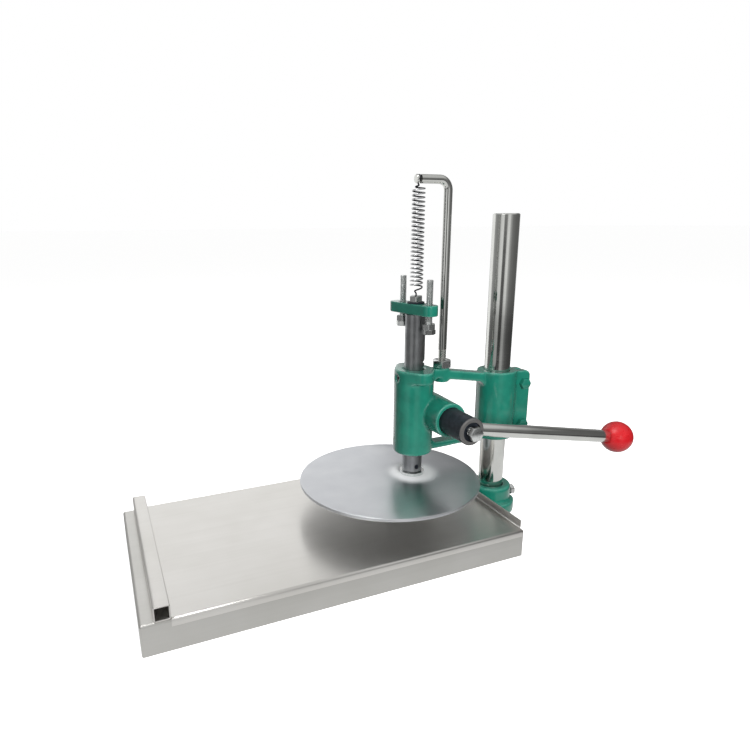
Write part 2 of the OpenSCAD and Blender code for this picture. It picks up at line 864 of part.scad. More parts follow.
// Involute pinion outline, with one tooth pointing at the ram
module pinion_outline() {
    steps = 5;
    radii = concat([root_r], [for (i = [0:steps]) base_r + (tip_r - base_r) * i / steps]);
    last = len(radii) - 1;
    polygon([for (tooth = [0:pinion_teeth - 1]) let (a = 180 + tooth * 360 / pinion_teeth)
        each concat(
            [for (i = [0:last]) let (r = radii[i], f = a - flank_angle(r)) r * [cos(f), sin(f)]],
            [for (i = [last:-1:0]) let (r = radii[i], f = a + flank_angle(r)) r * [cos(f), sin(f)]]
        )]);
}

module pinion_shaft() {
    color(black_oxide) difference() {
        union() {
            at_pinion(-hub_face) rotate_extrude() polygon([
                [0, 0], [shaft_r - edge, 0], [shaft_r, edge], [shaft_r, hub_face - pinion_w / 2],
                [0, hub_face - pinion_w / 2]
            ]);
            translate([pinion_x, 0, pinion_z]) across_y(pinion_w) pinion_outline();
            at_pinion(0) cylinder(r = journal_r, h = shaft_rear);
        }
        at_pinion(-hub_face - 1) cylinder(r = face_recess_r, h = face_recess + 1);
        at_pinion(-hub_face) cylinder(d = lock_d + 2 * fit_run, h = rod_inset);
        at_lever() translate([0, 0, -rod_in - fit_run]) cylinder(r = rod_r + fit_run, h = lever_l);
        at_pinion(ring_y - fit_run)
            ring(journal_r - ring_depth, journal_r + 1, ring_t + 2 * fit_run);
    }
}

module lever_rod() {
    color(chrome) difference() {
        at_lever() {
            translate([0, 0, -rod_in]) cylinder(r = rod_r, h = rod_in + lever_l - knob_flat);
            cylinder(r = knob_spigot_r, h = lever_l - knob_flat + knob_spigot_l);
        }
        at_pinion(-hub_face)
            cylinder(d = lock_d + 2 * fit_run, h = rod_inset - rod_r + lock_tip + fit_bolt);
    }
}

module lever_lock_bolt() {
    color(steel) at_pinion(-hub_face - lock_stand)
        hex_bolt(lock_d, lock_stand + rod_inset - rod_r + lock_tip, lock_af, lock_head);
}

module ball_knob() {
    color(red) at_lever() translate([0, 0, lever_l]) difference() {
        sphere(knob_r);
        translate([0, 0, -knob_d - knob_flat]) cylinder(r = knob_d, h = knob_d);
        translate([0, 0, -knob_d])
            cylinder(r = knob_spigot_r + fit_run, h = knob_d - knob_flat + knob_spigot_l + tip_gap);
    }
}

module thrust_washer() {
    color(steel) at_pinion(washer_y) ring(journal_r + fit_run, journal_r + washer_step, washer_t);
}

module retaining_ring() {
    color(steel) at_pinion(ring_y) ring(journal_r - ring_depth + fit_run, journal_r + ring_step, ring_t);
}

base_casting();
column();
column_set_bolt();
bed();
bed_screws();
sliding_board();
board_handle();
head_casting();
clamp_bolts();
clamp_nuts();
guide_screw();
spring_post();
spring_post_nut();
return_spring();
ram();
press_plate();
plate_hub();
hub_set_screw();
stop_crossbar();
spring_anchor();
anchor_washer();
stop_bolt_front();
stop_nut_front();
stop_bolt_rear();
stop_nut_rear();
pinion_shaft();
lever_rod();
lever_lock_bolt();
ball_knob();
thrust_washer();
retaining_ring();
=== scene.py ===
# Looks of a hand lever dough press: castings, folded sheets, bars, fasteners and a wound spring
import math

import bmesh
import bpy
import numpy as np
from mathutils import Matrix, Vector


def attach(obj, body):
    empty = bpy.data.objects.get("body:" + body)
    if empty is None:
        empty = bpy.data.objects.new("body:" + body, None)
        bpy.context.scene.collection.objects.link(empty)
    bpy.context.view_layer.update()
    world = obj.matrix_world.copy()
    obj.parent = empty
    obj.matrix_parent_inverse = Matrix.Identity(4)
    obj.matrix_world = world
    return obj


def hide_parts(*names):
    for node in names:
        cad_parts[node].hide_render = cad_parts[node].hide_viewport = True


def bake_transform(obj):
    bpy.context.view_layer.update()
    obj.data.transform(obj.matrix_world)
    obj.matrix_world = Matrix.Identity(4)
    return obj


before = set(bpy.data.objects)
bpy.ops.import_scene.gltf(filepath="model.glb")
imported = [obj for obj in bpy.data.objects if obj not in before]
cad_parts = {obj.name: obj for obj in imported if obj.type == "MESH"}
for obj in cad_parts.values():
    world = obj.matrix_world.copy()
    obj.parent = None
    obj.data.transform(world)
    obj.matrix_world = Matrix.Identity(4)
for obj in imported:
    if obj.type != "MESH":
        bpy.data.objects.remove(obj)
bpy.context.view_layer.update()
scene = bpy.context.scene
scene.view_settings.view_transform = "Standard"

MM = 0.001
TAU = 2 * math.pi
# Points nearer than this are merged
MERGE = 0.001 * MM

# Sizes in millimetres, as in the part's source
REACH = 122
BED_LEFT, BED_RIGHT, BED_HALF, BED_TOP, BED_T = -340.3, 81.7, 117.9, 32.6, 1.5
BED_SCREW_XS, BED_SCREW_YS = (-93.3, 61.7), (-69, 69)
BOARD_LEFT, BOARD_HALF, BOARD_TOP, BOARD_T, BOARD_BEND = -327.5, 119.4, 34, 1.2, 2.6
BOARD_FLANGE, LIP_H, LIP_HALF = 8, 9, 112.8
TUBE, TUBE_WALL, TUBE_CORNER = 15, 1.2, 1.9
PLATE_X, PLATE_Z, PLATE_R, PLATE_T = -32, 68.5, 110, 4
COLUMN_R, COLUMN_Z, COLUMN_TOP, SET_BOLT_X, SET_BOLT_Z = 16, 6, 386, 153.5, 19
PINION_X, PINION_Z, SHAFT_R, JOURNAL_R, BOSS_REAR = 22.25, 152.5, 15.75, 9.75, 28
RAM_R, GUIDE_X, GUIDE_Z, HUB_SCREW_Y, HUB_SCREW_Z = 12, -21.3, 197, -10.5, 84
HUB_FACE, LOCK_BOLT_Y = -92, -95
ROD_Y, ROD_R, ROD_BACK, LEVER_L, LEVER_DROP = -78, 8, -10.75, 239, 11
KNOB_R, KNOB_FLAT, KNOB_SPIGOT_R, KNOB_SPIGOT_L = 20, 18, 6, 18
POST_X, POST_FOOT, POST_THREAD, POST_R, POST_BEND, POST_END = 38.5, 192.5, 227, 5, 12, -4
POST_NUT_Z, HOOK_Z, GROOVE_R, GROOVE_W = 204.5, 423, 3, 2.6
CLAMP_X, CLAMP_ZS, EAR_FACE = 157, (118.5, 173.5), 12
STOP_XY, STOP_R, STOP_FRONT_Z, STOP_REAR_Z, STOP_L = (5.06, -21.92), 4, 257.5, 262, 56
ANCHOR_R, ANCHOR_SEAT, ANCHOR_TOP = 5, 287, 294
WIRE_R, COIL_R, COIL_TURNS, COIL_LOW, COIL_HIGH = 0.9, 6.85, 23, 304.5, 413

# The bed's folds are rolled a little tighter than in the solids
BED_ROLL = 2.4

# Camera and studio

CAM_TURN, CAM_RISE, CAM_ROLL = math.radians(-22.93), math.radians(14.90), math.radians(-0.40)
CAM_PLACE = Vector((-347.00, -599.54, 376.72)) * MM
FOCAL_PX, CENTRE_PX, FRAME_PX, SENSOR = 589.17, (342.74, 379.22), 750, 36


def linear(colour):
    """Linear RGBA of an sRGB hex colour"""
    parts = [int(colour[i:i + 2], 16) / 255 for i in (1, 3, 5)]
    return [c / 12.92 if c <= 0.04045 else ((c + 0.055) / 1.055) ** 2.4 for c in parts] + [1]


def put(tree, kind, inputs=None, stops=None, **settings):
    """Adds a node with its settings, colour stops, input values and links; text is a hex colour"""
    node = tree.nodes.new(kind)
    for key, value in settings.items():
        setattr(node, key, value)
    if stops:
        ramp = node.color_ramp.elements
        while len(ramp) < len(stops):
            ramp.new(1)
        for element, (place, colour) in zip(ramp, stops):
            element.position = place
            element.color = linear(colour) if isinstance(colour, str) else [colour] * 3 + [1]
    for key, value in (inputs or {}).items():
        if isinstance(value, str):
            value = linear(value)
        if isinstance(value, bpy.types.Node):
            value = value.outputs[0]
        if isinstance(value, bpy.types.NodeSocket):
            tree.links.new(value, node.inputs[key])
        else:
            node.inputs[key].default_value = value
    return node


def set_camera():
    a, e, r = CAM_TURN, CAM_RISE, CAM_ROLL
    back = Vector((math.sin(a) * math.cos(e), -math.cos(a) * math.cos(e), math.sin(e)))
    side = Vector((0, 0, 1)).cross(back).normalized()
    up = back.cross(side)
    x = math.cos(r) * side + math.sin(r) * up
    y = -math.sin(r) * side + math.cos(r) * up
    data = bpy.data.cameras.new("camera")
    data.sensor_width = data.sensor_height = SENSOR
    data.lens = FOCAL_PX / FRAME_PX * SENSOR
    data.shift_x = (FRAME_PX / 2 - CENTRE_PX[0]) / FRAME_PX
    data.shift_y = (CENTRE_PX[1] - FRAME_PX / 2) / FRAME_PX
    data.clip_start, data.clip_end = 0.01, 100
    camera = bpy.data.objects.new("camera", data)
    camera.matrix_world = Matrix((x, y, back)).transposed().to_4x4()
    camera.location = CAM_PLACE
    scene.collection.objects.link(camera)
    scene.camera = camera


# Brightness of the studio walls by angle from the camera's side, in degrees to the right: what the
# metal mirrors, white walls with dark gaps that streak the chrome, and what lights the paint
MIRRORED = ((-180, 0.28), (-130, 0.55), (-98, 0.30), (-66, 0.24), (-54, 0.72), (-32, 0.82),
            (-25, 0.12), (-5, 0.12), (3, 0.75), (18, 0.82), (28, 0.42), (47, 0.20), (80, 0.14),
            (126, 0.12), (142, 0.26), (180, 0.28))
MIRRORED_CEILING, MIRRORED_GROUND, SKIRTING = 0.62, 0.76, 0.45
LIGHTING = ((-180, 0.09), (-100, 0.08), (-50, 0.09), (-25, 0.34), (20, 0.34), (50, 0.06),
            (120, 0.05), (180, 0.14))
LIGHTING_CEILING, LIGHTING_GROUND = 0.14, 0.08
# Where the walls pass into the ceiling, the skirting and the ground, as heights on a globe of radius
# one; the ceiling hangs lower over the camera than at the back
CEILING_TILT = 0.35
CEILING_SEAM, SKIRTING_SEAM, GROUND_SEAM = (0.36, 0.72), (-0.08, -0.18), (-0.28, -0.46)


def set_studio():
    world = bpy.data.worlds.new("studio")
    scene.world = world
    world.use_nodes = True
    t = world.node_tree
    t.nodes.clear()
    sight = put(t, "ShaderNodeTexCoord").outputs["Generated"]
    way = put(t, "ShaderNodeSeparateXYZ", {0: sight}).outputs
    turn = put(t, "ShaderNodeMath", {0: way["Y"], 1: way["X"]}, operation="ARCTAN2")
    facing = CAM_TURN - math.pi / 2
    part = put(t, "ShaderNodeMath", {0: turn, 1: 1 / TAU, 2: 0.5 - facing / TAU},
               operation="MULTIPLY_ADD")
    part = put(t, "ShaderNodeMath", {0: part}, operation="FRACT")
    lean = (CEILING_TILT * math.cos(facing), CEILING_TILT * math.sin(facing), 1)
    height = put(t, "ShaderNodeVectorMath", {0: sight, 1: lean}, operation="DOT_PRODUCT")
    seams = []
    for level, (start, end), before, after in (
            (height.outputs["Value"], CEILING_SEAM, 0, 1), (way["Z"], SKIRTING_SEAM, 1, SKIRTING),
            (way["Z"], GROUND_SEAM, 0, 1)):
        seams.append(put(t, "ShaderNodeMapRange", {
            "Value": level, "From Min": start, "From Max": end, "To Min": before, "To Max": after},
            interpolation_type="SMOOTHSTEP"))
    rise, skirt, fall = seams

    def surround(walls, ceiling, ground):
        ring = put(t, "ShaderNodeValToRGB", {0: part}, stops=[(a / 360 + 0.5, v) for a, v in walls])
        ring = put(t, "ShaderNodeVectorMath", {0: ring, "Scale": skirt}, operation="SCALE")
        for share, level in ((rise, ceiling), (fall, ground)):
            ring = put(t, "ShaderNodeMix", {0: share, 6: ring, 7: [level] * 3 + [1]},
                       data_type="RGBA").outputs[2]
        return ring

    ray = put(t, "ShaderNodeLightPath").outputs
    seen = surround(LIGHTING, LIGHTING_CEILING, LIGHTING_GROUND)
    for kind, view in (("Is Glossy Ray", surround(MIRRORED, MIRRORED_CEILING, MIRRORED_GROUND)),
                       ("Is Camera Ray", [1, 1, 1, 1])):
        seen = put(t, "ShaderNodeMix", {0: ray[kind], 6: seen, 7: view}, data_type="RGBA").outputs[2]
    put(t, "ShaderNodeOutputWorld", {0: put(t, "ShaderNodeBackground", {0: seen})})


# Point on the ram's axis that the softboxes are turned to
AIM = Vector((0, 0, 180)) * MM


def add_softbox(name, angle, rise, distance, size, power, mirrored):
    """Square soft light aimed at the press, by its angle from the camera's side and its height;
    it shows in the gloss alone, or lights the paint alone"""
    a, e = CAM_TURN - math.pi / 2 + math.radians(angle), math.radians(rise)
    way = Vector((math.cos(a) * math.cos(e), math.sin(a) * math.cos(e), math.sin(e)))
    data = bpy.data.lights.new(name, "AREA")
    data.shape, data.size, data.energy = "SQUARE", size, power
    lamp = bpy.data.objects.new(name, data)
    lamp.location = AIM + way * distance
    lamp.rotation_euler = way.to_track_quat("Z", "Y").to_euler()
    lamp.visible_glossy, lamp.visible_diffuse = mirrored, not mirrored
    scene.collection.objects.link(lamp)


def add_card(name, corners, glow):
    """White card that lights the press and shows in its metal, out of the camera's sight"""
    finish, t, _ = new_finish(name)
    put(t, "ShaderNodeOutputMaterial", {0: put(t, "ShaderNodeEmission", {1: glow})})
    mesh = bpy.data.meshes.new(name)
    mesh.from_pydata(corners, [], [(0, 1, 2, 3)])
    mesh.materials.append(finish)
    card = bpy.data.objects.new(name, mesh)
    scene.collection.objects.link(card)
    card.visible_camera = card.visible_shadow = False


def set_lights():
    set_studio()
    add_softbox("front_softbox", angle=16, rise=14, distance=1.3, size=0.5, power=20.5,
                mirrored=False)
    add_softbox("ceiling_softbox", angle=-20, rise=80, distance=1.4, size=0.9, power=12,
                mirrored=False)
    add_softbox("top_softbox", angle=-50, rise=62, distance=1.4, size=0.5, power=5, mirrored=True)
    # Two cards in one plane behind the press, in metres: a wide one, and a strip that hangs below it
    left, y, low, high = -0.37, 0.60, -0.1, 0.75
    right_low, right_high, strip_right, strip_low = 0.06, 0.53, -0.22, -0.6
    add_card("back_card", [(left, y, low), (right_low, y, low), (right_high, y, high),
                           (left, y, high)], glow=1.02)
    add_card("low_card", [(left, y, strip_low), (strip_right, y, strip_low), (strip_right, y, low),
                          (left, y, low)], glow=1.0)


# Finishes

# Most of a noise lies in this part of 0 to 1
LOW, HIGH = 0.3, 0.7
SPAN = {"From Min": LOW, "From Max": HIGH}


def new_finish(name):
    """Empty finish, its tree and the place on the piece that its patterns follow"""
    finish = bpy.data.materials.new(name)
    finish.use_nodes = True
    finish.node_tree.nodes.clear()
    spot = put(finish.node_tree, "ShaderNodeTexCoord").outputs["Object"]
    return finish, finish.node_tree, spot


def close_finish(tree, **sockets):
    """Ends a finish in one Principled shader; names use _ for a space"""
    shader = put(tree, "ShaderNodeBsdfPrincipled",
                 {key.replace("_", " "): value for key, value in sockets.items()})
    put(tree, "ShaderNodeOutputMaterial", {0: shader})


def enamel_on_cast_iron():
    """Brushed-on gloss enamel over sand-cast iron: a deep even green with soft swells from the
    mould, fine orange peel, a paler line on proud edges that is partly paint thinning there and
    partly a painted highlight, and painted shade darkening the concave corners"""
    finish, t, spot = new_finish("green_enamel_on_cast_iron")
    edge = put(t, "ShaderNodeAttribute", attribute_name="edge").outputs["Fac"]
    swell = put(t, "ShaderNodeTexNoise", {"Vector": spot, "Scale": 1 / (14 * MM), "Detail": 2})
    # Orange peel is about 0.6 mm across; drawn at 1.6 mm so that it shows
    peel = put(t, "ShaderNodeTexNoise", {"Vector": spot, "Scale": 1 / (1.6 * MM), "Detail": 2})
    coat = put(t, "ShaderNodeValToRGB", {0: swell}, stops=[(LOW, "#166B5A"), (HIGH, "#1B7764")])
    # Paler line on proud edges: partly paint thinned there, partly a painted highlight
    rub = put(t, "ShaderNodeMath", {0: edge, 1: peel}, operation="MULTIPLY")
    thin = put(t, "ShaderNodeMapRange", {"Value": rub, "From Min": 0.10, "From Max": 0.42,
                                         "To Max": 0.40})
    coat = put(t, "ShaderNodeMix", {0: thin, 6: coat, 7: "#62A596"}, data_type="RGBA")
    # Painted shade: concave corners are darkened towards a deep green
    hollow = put(t, "ShaderNodeMapRange", {"Value": edge, "From Min": -0.15, "From Max": -0.7,
                                           "To Max": 0.45})
    coat = put(t, "ShaderNodeMix", {0: hollow, 6: coat.outputs[2], 7: "#0A4A40"},
               data_type="RGBA")
    gloss = put(t, "ShaderNodeMapRange", {"Value": swell, **SPAN, "To Min": 0.19, "To Max": 0.23})
    bump = put(t, "ShaderNodeBump", {"Height": swell, "Strength": 0.12, "Distance": 0.6 * MM})
    bump = put(t, "ShaderNodeBump", {"Height": peel, "Strength": 0.35, "Distance": 0.12 * MM,
                                     "Normal": bump})
    close_finish(t, Base_Color=coat.outputs[2], Roughness=gloss, IOR=1.5, Coat_Weight=0.6,
                 Coat_Roughness=0.10, Normal=bump)
    return finish


def across_grain(t):
    """Direction in which a grain along X blurs reflections: square to it, in the surface"""
    facing = put(t, "ShaderNodeNewGeometry").outputs["Normal"]
    across = put(t, "ShaderNodeVectorMath", {0: facing, 1: (1, 0, 0)}, operation="CROSS_PRODUCT")
    return put(t, "ShaderNodeVectorMath", {0: across, 1: (0, 0.05, 0)}, operation="ADD")


def satin_stainless_sheet(name, dark, light):
    """Cold-rolled stainless with a fine grain along the sheet: a pale warm grey whose reflections
    are drawn out across the grain, with faint wiping marks"""
    finish, t, spot = new_finish(name)
    # Grain lines are about 0.1 mm wide; drawn at 4 mm so that they show
    lie = put(t, "ShaderNodeMapping", {
        "Vector": spot, "Scale": (1 / (200 * MM), 1 / (4 * MM), 1 / (4 * MM))})
    grain = put(t, "ShaderNodeTexNoise", {"Vector": lie, "Scale": 1.0, "Detail": 1})
    smear = put(t, "ShaderNodeTexNoise", {"Vector": spot, "Scale": 1 / (70 * MM), "Detail": 2,
                                          "Roughness": 0.6})
    both = put(t, "ShaderNodeMix", {0: 0.2, 2: smear, 3: grain}, data_type="FLOAT")
    tone = put(t, "ShaderNodeValToRGB", {0: both}, stops=[(LOW, dark), (HIGH, light)])
    gloss = put(t, "ShaderNodeMapRange", {"Value": both, **SPAN, "To Min": 0.285, "To Max": 0.32})
    close_finish(t, Base_Color=tone, Metallic=1.0, Roughness=gloss, Anisotropic=0.8,
                 Tangent=across_grain(t))
    return finish


def satin_stainless_disc():
    """Stainless disc cut from grained sheet: a cooler grey that draws reflections out across the
    grain, and a painted highlight: a matt, near-white ring round the hub"""
    finish, t, spot = new_finish("satin_stainless_disc")
    # Grain lines are about 0.1 mm wide; drawn at 3 mm so that they show
    lie = put(t, "ShaderNodeMapping", {
        "Vector": spot, "Scale": (1 / (150 * MM), 1 / (3 * MM), 1 / (3 * MM))})
    grain = put(t, "ShaderNodeTexNoise", {"Vector": lie, "Scale": 1.0, "Detail": 1})
    smear = put(t, "ShaderNodeTexNoise", {"Vector": spot, "Scale": 1 / (50 * MM), "Detail": 3})
    from_hub = put(t, "ShaderNodeMapping", {"Vector": spot, "Scale": (1, 1, 0)})
    near = put(t, "ShaderNodeVectorMath", {0: from_hub}, operation="LENGTH").outputs["Value"]
    near = put(t, "ShaderNodeMath", {0: smear, 1: 8 * MM, 2: near}, operation="MULTIPLY_ADD")
    # Painted highlight: a matt near-white ring round the hub, with a wavy edge
    pickled = put(t, "ShaderNodeMapRange", {"Value": near, "From Min": 42 * MM, "From Max": 24 * MM},
                  interpolation_type="SMOOTHSTEP")
    tone = put(t, "ShaderNodeValToRGB", {0: smear}, stops=[(LOW, "#DADCE0"), (HIGH, "#E5E7EA")])
    tone = put(t, "ShaderNodeMix", {0: pickled, 6: tone, 7: "#FAFBFC"}, data_type="RGBA")
    gloss = put(t, "ShaderNodeMapRange", {"Value": grain, **SPAN, "To Min": 0.31, "To Max": 0.35})
    gloss = put(t, "ShaderNodeMix", {0: pickled, 2: gloss, 3: 0.62}, data_type="FLOAT")
    bump = put(t, "ShaderNodeBump", {"Height": grain, "Strength": 0.02, "Distance": 0.06 * MM})
    bare = put(t, "ShaderNodeMapRange", {"Value": pickled, "To Min": 1.0, "To Max": 0.1})
    close_finish(t, Base_Color=tone.outputs[2], Metallic=bare, Roughness=gloss, Anisotropic=0.9,
                 Tangent=across_grain(t), Normal=bump)
    return finish


def polished_chrome():
    """Hard chrome on ground bar: clear dark and light streaks along the bar, with hairline rubbing
    marks round it where the castings slide"""
    finish, t, spot = new_finish("polished_chrome_plate")
    # Rubbing marks are hairlines; drawn at 0.8 mm so that they show
    lie = put(t, "ShaderNodeMapping", {
        "Vector": spot, "Scale": (1 / (30 * MM), 1 / (30 * MM), 1 / (0.8 * MM))})
    marks = put(t, "ShaderNodeTexNoise", {"Vector": lie, "Scale": 1.0, "Detail": 2})
    haze = put(t, "ShaderNodeTexNoise", {"Vector": spot, "Scale": 1 / (30 * MM), "Detail": 3})
    tone = put(t, "ShaderNodeValToRGB", {0: haze}, stops=[(LOW, "#D3D4D0"), (HIGH, "#E1E2DE")])
    both = put(t, "ShaderNodeMath", {0: marks, 1: haze}, operation="MULTIPLY")
    gloss = put(t, "ShaderNodeMapRange", {"Value": both, "From Min": 0.12, "From Max": 0.45,
                                          "To Min": 0.06, "To Max": 0.17})
    bump = put(t, "ShaderNodeBump", {"Height": haze, "Strength": 0.3, "Distance": 0.2 * MM})
    close_finish(t, Base_Color=tone, Metallic=1.0, Roughness=gloss, Normal=bump)
    return finish


def bare_metal(name, dark, light, gloss, blotch, line, relief):
    """A metal with blotches of a given size and lines of a given width along Z, in millimetres"""
    finish, t, spot = new_finish(name)
    blots = put(t, "ShaderNodeTexNoise", {"Vector": spot, "Scale": 1 / (blotch * MM), "Detail": 4,
                                          "Roughness": 0.6})
    # Such lines are about 0.1 mm wide; drawn at the given width so that they show
    fine = 1 / (line * MM)
    lie = put(t, "ShaderNodeMapping", {"Vector": spot, "Scale": (8 * fine, 8 * fine, fine)})
    lines = put(t, "ShaderNodeTexNoise", {"Vector": lie, "Scale": 0.12, "Detail": 2})
    tone = put(t, "ShaderNodeValToRGB", {0: blots}, stops=[(0.32, dark), (0.68, light)])
    rough = put(t, "ShaderNodeMapRange", {"Value": lines, **SPAN, "To Min": gloss[0],
                                          "To Max": gloss[1]})
    bump = put(t, "ShaderNodeBump", {"Height": lines, "Strength": 0.3, "Distance": relief * MM})
    close_finish(t, Base_Color=tone, Metallic=1.0, Roughness=rough, Normal=bump)
    return finish


def drawn_wire():
    """Drawn spring wire with painted light and shade: bright on the outside of the coil, dark grey on
    its inside
    """
    finish, t, spot = new_finish("drawn_spring_wire")
    level = put(t, "ShaderNodeMapping", {"Vector": spot, "Scale": (1, 1, 0)})
    far = put(t, "ShaderNodeVectorMath", {0: level}, operation="LENGTH").outputs["Value"]
    blots = put(t, "ShaderNodeTexNoise", {"Vector": spot, "Scale": 1 / (3 * MM), "Detail": 3})
    # Painted light and shade: this value grows from the inside of the coil to its outside, painting
    # the outside bright and the inside dark
    rubbed = put(t, "ShaderNodeMath", {0: blots, 1: 0.4 * MM, 2: far}, operation="MULTIPLY_ADD")
    rubbed = put(t, "ShaderNodeMapRange", {"Value": rubbed, "From Min": (COIL_R - 0.2) * MM,
                                           "From Max": (COIL_R + 0.8) * MM})
    tone = put(t, "ShaderNodeValToRGB", {0: rubbed}, stops=[(0, "#45474A"), (1, "#DADBDC")])
    gloss = put(t, "ShaderNodeMapRange", {"Value": rubbed, "To Min": 0.45, "To Max": 0.28})
    bump = put(t, "ShaderNodeBump", {"Height": blots, "Strength": 0.2, "Distance": 0.03 * MM})
    close_finish(t, Base_Color=tone, Metallic=1.0, Roughness=gloss, Normal=bump)
    return finish


def black_oxide():
    """Blackened turned steel: blue-black and half matt, rubbed grey on the hub's front rim where
    hands and cloths pass"""
    finish, t, spot = new_finish("black_oxide_on_turned_steel")
    along = put(t, "ShaderNodeSeparateXYZ", {0: spot}).outputs["Y"]
    # Tool marks are about 0.15 mm apart; drawn at 0.8 mm so that they show
    rings = put(t, "ShaderNodeTexNoise", {"W": along, "Scale": 1 / (0.8 * MM), "Detail": 2},
                noise_dimensions="1D")
    blots = put(t, "ShaderNodeTexNoise", {"Vector": spot, "Scale": 1 / (6 * MM), "Detail": 4})
    rim = put(t, "ShaderNodeMath", {0: blots, 1: 2 * MM, 2: along}, operation="MULTIPLY_ADD")
    bare = put(t, "ShaderNodeMapRange", {
        "Value": rim, "From Min": (HUB_FACE + 3.5) * MM, "From Max": (HUB_FACE + 2) * MM,
        "To Max": 0.75}, interpolation_type="SMOOTHSTEP")
    tone = put(t, "ShaderNodeValToRGB", {0: blots}, stops=[(0.35, "#24282F"), (0.7, "#343942")])
    tone = put(t, "ShaderNodeMix", {0: bare, 6: tone, 7: "#7C7A78"}, data_type="RGBA")
    gloss = put(t, "ShaderNodeMapRange", {"Value": rings, **SPAN, "To Min": 0.38, "To Max": 0.50})
    bump = put(t, "ShaderNodeBump", {"Height": rings, "Strength": 0.2, "Distance": 0.06 * MM})
    close_finish(t, Base_Color=tone.outputs[2], Metallic=0.6, Roughness=gloss, Normal=bump)
    return finish


def red_phenolic():
    """Pressed phenolic ball: a full red with a softened gloss, faint flow clouds from the mould and
    a few dull rubs from the palm"""
    finish, t, spot = new_finish("glossy_red_phenolic")
    flow = put(t, "ShaderNodeTexNoise", {"Vector": spot, "Scale": 1 / (12 * MM), "Detail": 3,
                                         "Distortion": 1.5})
    rubs = put(t, "ShaderNodeTexNoise", {"Vector": spot, "Scale": 1 / (5 * MM), "Detail": 4})
    tone = put(t, "ShaderNodeValToRGB", {0: flow}, stops=[(LOW, "#B4131B"), (HIGH, "#C01A22")])
    gloss = put(t, "ShaderNodeMapRange", {"Value": rubs, "From Min": 0.4, "From Max": 0.75,
                                          "To Min": 0.27, "To Max": 0.34})
    bump = put(t, "ShaderNodeBump", {"Height": flow, "Strength": 0.08, "Distance": 0.2 * MM})
    close_finish(t, Base_Color=tone, Roughness=gloss, IOR=1.55, Normal=bump)
    return finish


def white_paper():
    """Matt white studio paper with a barely seen fibre, which glows so that it stays white"""
    finish, t, spot = new_finish("matt_white_paper")
    fibre = put(t, "ShaderNodeTexNoise", {"Vector": spot, "Scale": 1 / (4 * MM), "Detail": 3})
    tone = put(t, "ShaderNodeValToRGB", {0: fibre}, stops=[(LOW, "#F4F4F3"), (HIGH, "#F8F8F7")])
    close_finish(t, Base_Color=tone, Roughness=0.9, IOR=1.3, Emission_Color="#FFFFFF",
                 Emission_Strength=0.85)
    return finish


ENAMEL = enamel_on_cast_iron()
SHEET = satin_stainless_sheet("satin_stainless_sheet", "#E1DFDA", "#ECEAE6")
# The bed's sheet is given a darker grey than the board's
WORN_SHEET = satin_stainless_sheet("wiped_stainless_sheet", "#CECDC8", "#DBDAD6")
PLATE = satin_stainless_disc()
CHROME = polished_chrome()
BLACK = black_oxide()
RED = red_phenolic()
# Ground bar under an oil film: mid grey and half matt, so only its middle catches the light
RAM_STEEL = bare_metal("oiled_ground_steel", "#8C8E90", "#A8AAAB", gloss=(0.29, 0.38), blotch=20,
                       line=1.2, relief=0.06)
# Bright zinc: pale and slightly blotched, with clear facets
ZINC = bare_metal("zinc_plated_steel", "#D0D3D2", "#E8EAE9", gloss=(0.18, 0.26), blotch=4,
                  line=0.8, relief=0.05)
WIRE = drawn_wire()
WHITE = white_paper()


# Making meshes

def settle(name, mesh, body, finish, slot, nodes=(), sharp=32):
    """Shades a finished mesh, makes it a piece of the press and hides the solids that it stands in
    for
    """
    mesh.name = name
    mesh.materials.clear()
    mesh.materials.append(finish)
    mesh.shade_smooth()
    mesh.set_sharp_from_angle(angle=math.radians(sharp))
    piece = bpy.data.objects.new(name, mesh)
    scene.collection.objects.link(piece)
    if body:
        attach(piece, body)
    if nodes:
        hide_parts(*nodes)
    return piece


def merged(mesh, outwards=True):
    """Merges a mesh's doubles and, unless they already point so, turns its faces outwards"""
    b = bmesh.new()
    b.from_mesh(mesh)
    bmesh.ops.remove_doubles(b, verts=b.verts, dist=MERGE)
    if outwards:
        bmesh.ops.recalc_face_normals(b, faces=b.faces)
    b.to_mesh(mesh)
    b.free()
    return mesh


def mesh_of(points, faces, place=Matrix()):
    """Clean mesh in metres from points in millimetres"""
    mesh = bpy.data.meshes.new("piece")
    mesh.from_pydata([place @ Vector(p) * MM for p in points], [], faces)
    return merged(mesh)


def evaluated(source):
    """Plain mesh of an object as its modifiers leave it; the object is removed"""
    shape = source.evaluated_get(bpy.context.evaluated_depsgraph_get())
    mesh = bpy.data.meshes.new_from_object(shape)
    bpy.data.objects.remove(source)
    return mesh


def loose_object(mesh):
    thing = bpy.data.objects.new(mesh.name, mesh)
    scene.collection.objects.link(thing)
    return thing


def at(x, y, z, turn=0, axis="X"):
    return Matrix.Translation((x, y, z)) @ Matrix.Rotation(math.radians(turn), 4, axis)


def skin(rings, wrap=False):
    """Faces between rings of points, closed at both ends or wrapped round to the first ring"""
    n = len(rings[0])
    faces = []
    for i in range(len(rings) if wrap else len(rings) - 1):
        a, b = i * n, (i + 1) % len(rings) * n
        faces += [(a + k, a + (k + 1) % n, b + (k + 1) % n, b + k) for k in range(n)]
    if not wrap:
        faces += [tuple(range(n)), tuple(range((len(rings) - 1) * n, len(rings) * n))]
    return [p for ring in rings for p in ring], faces


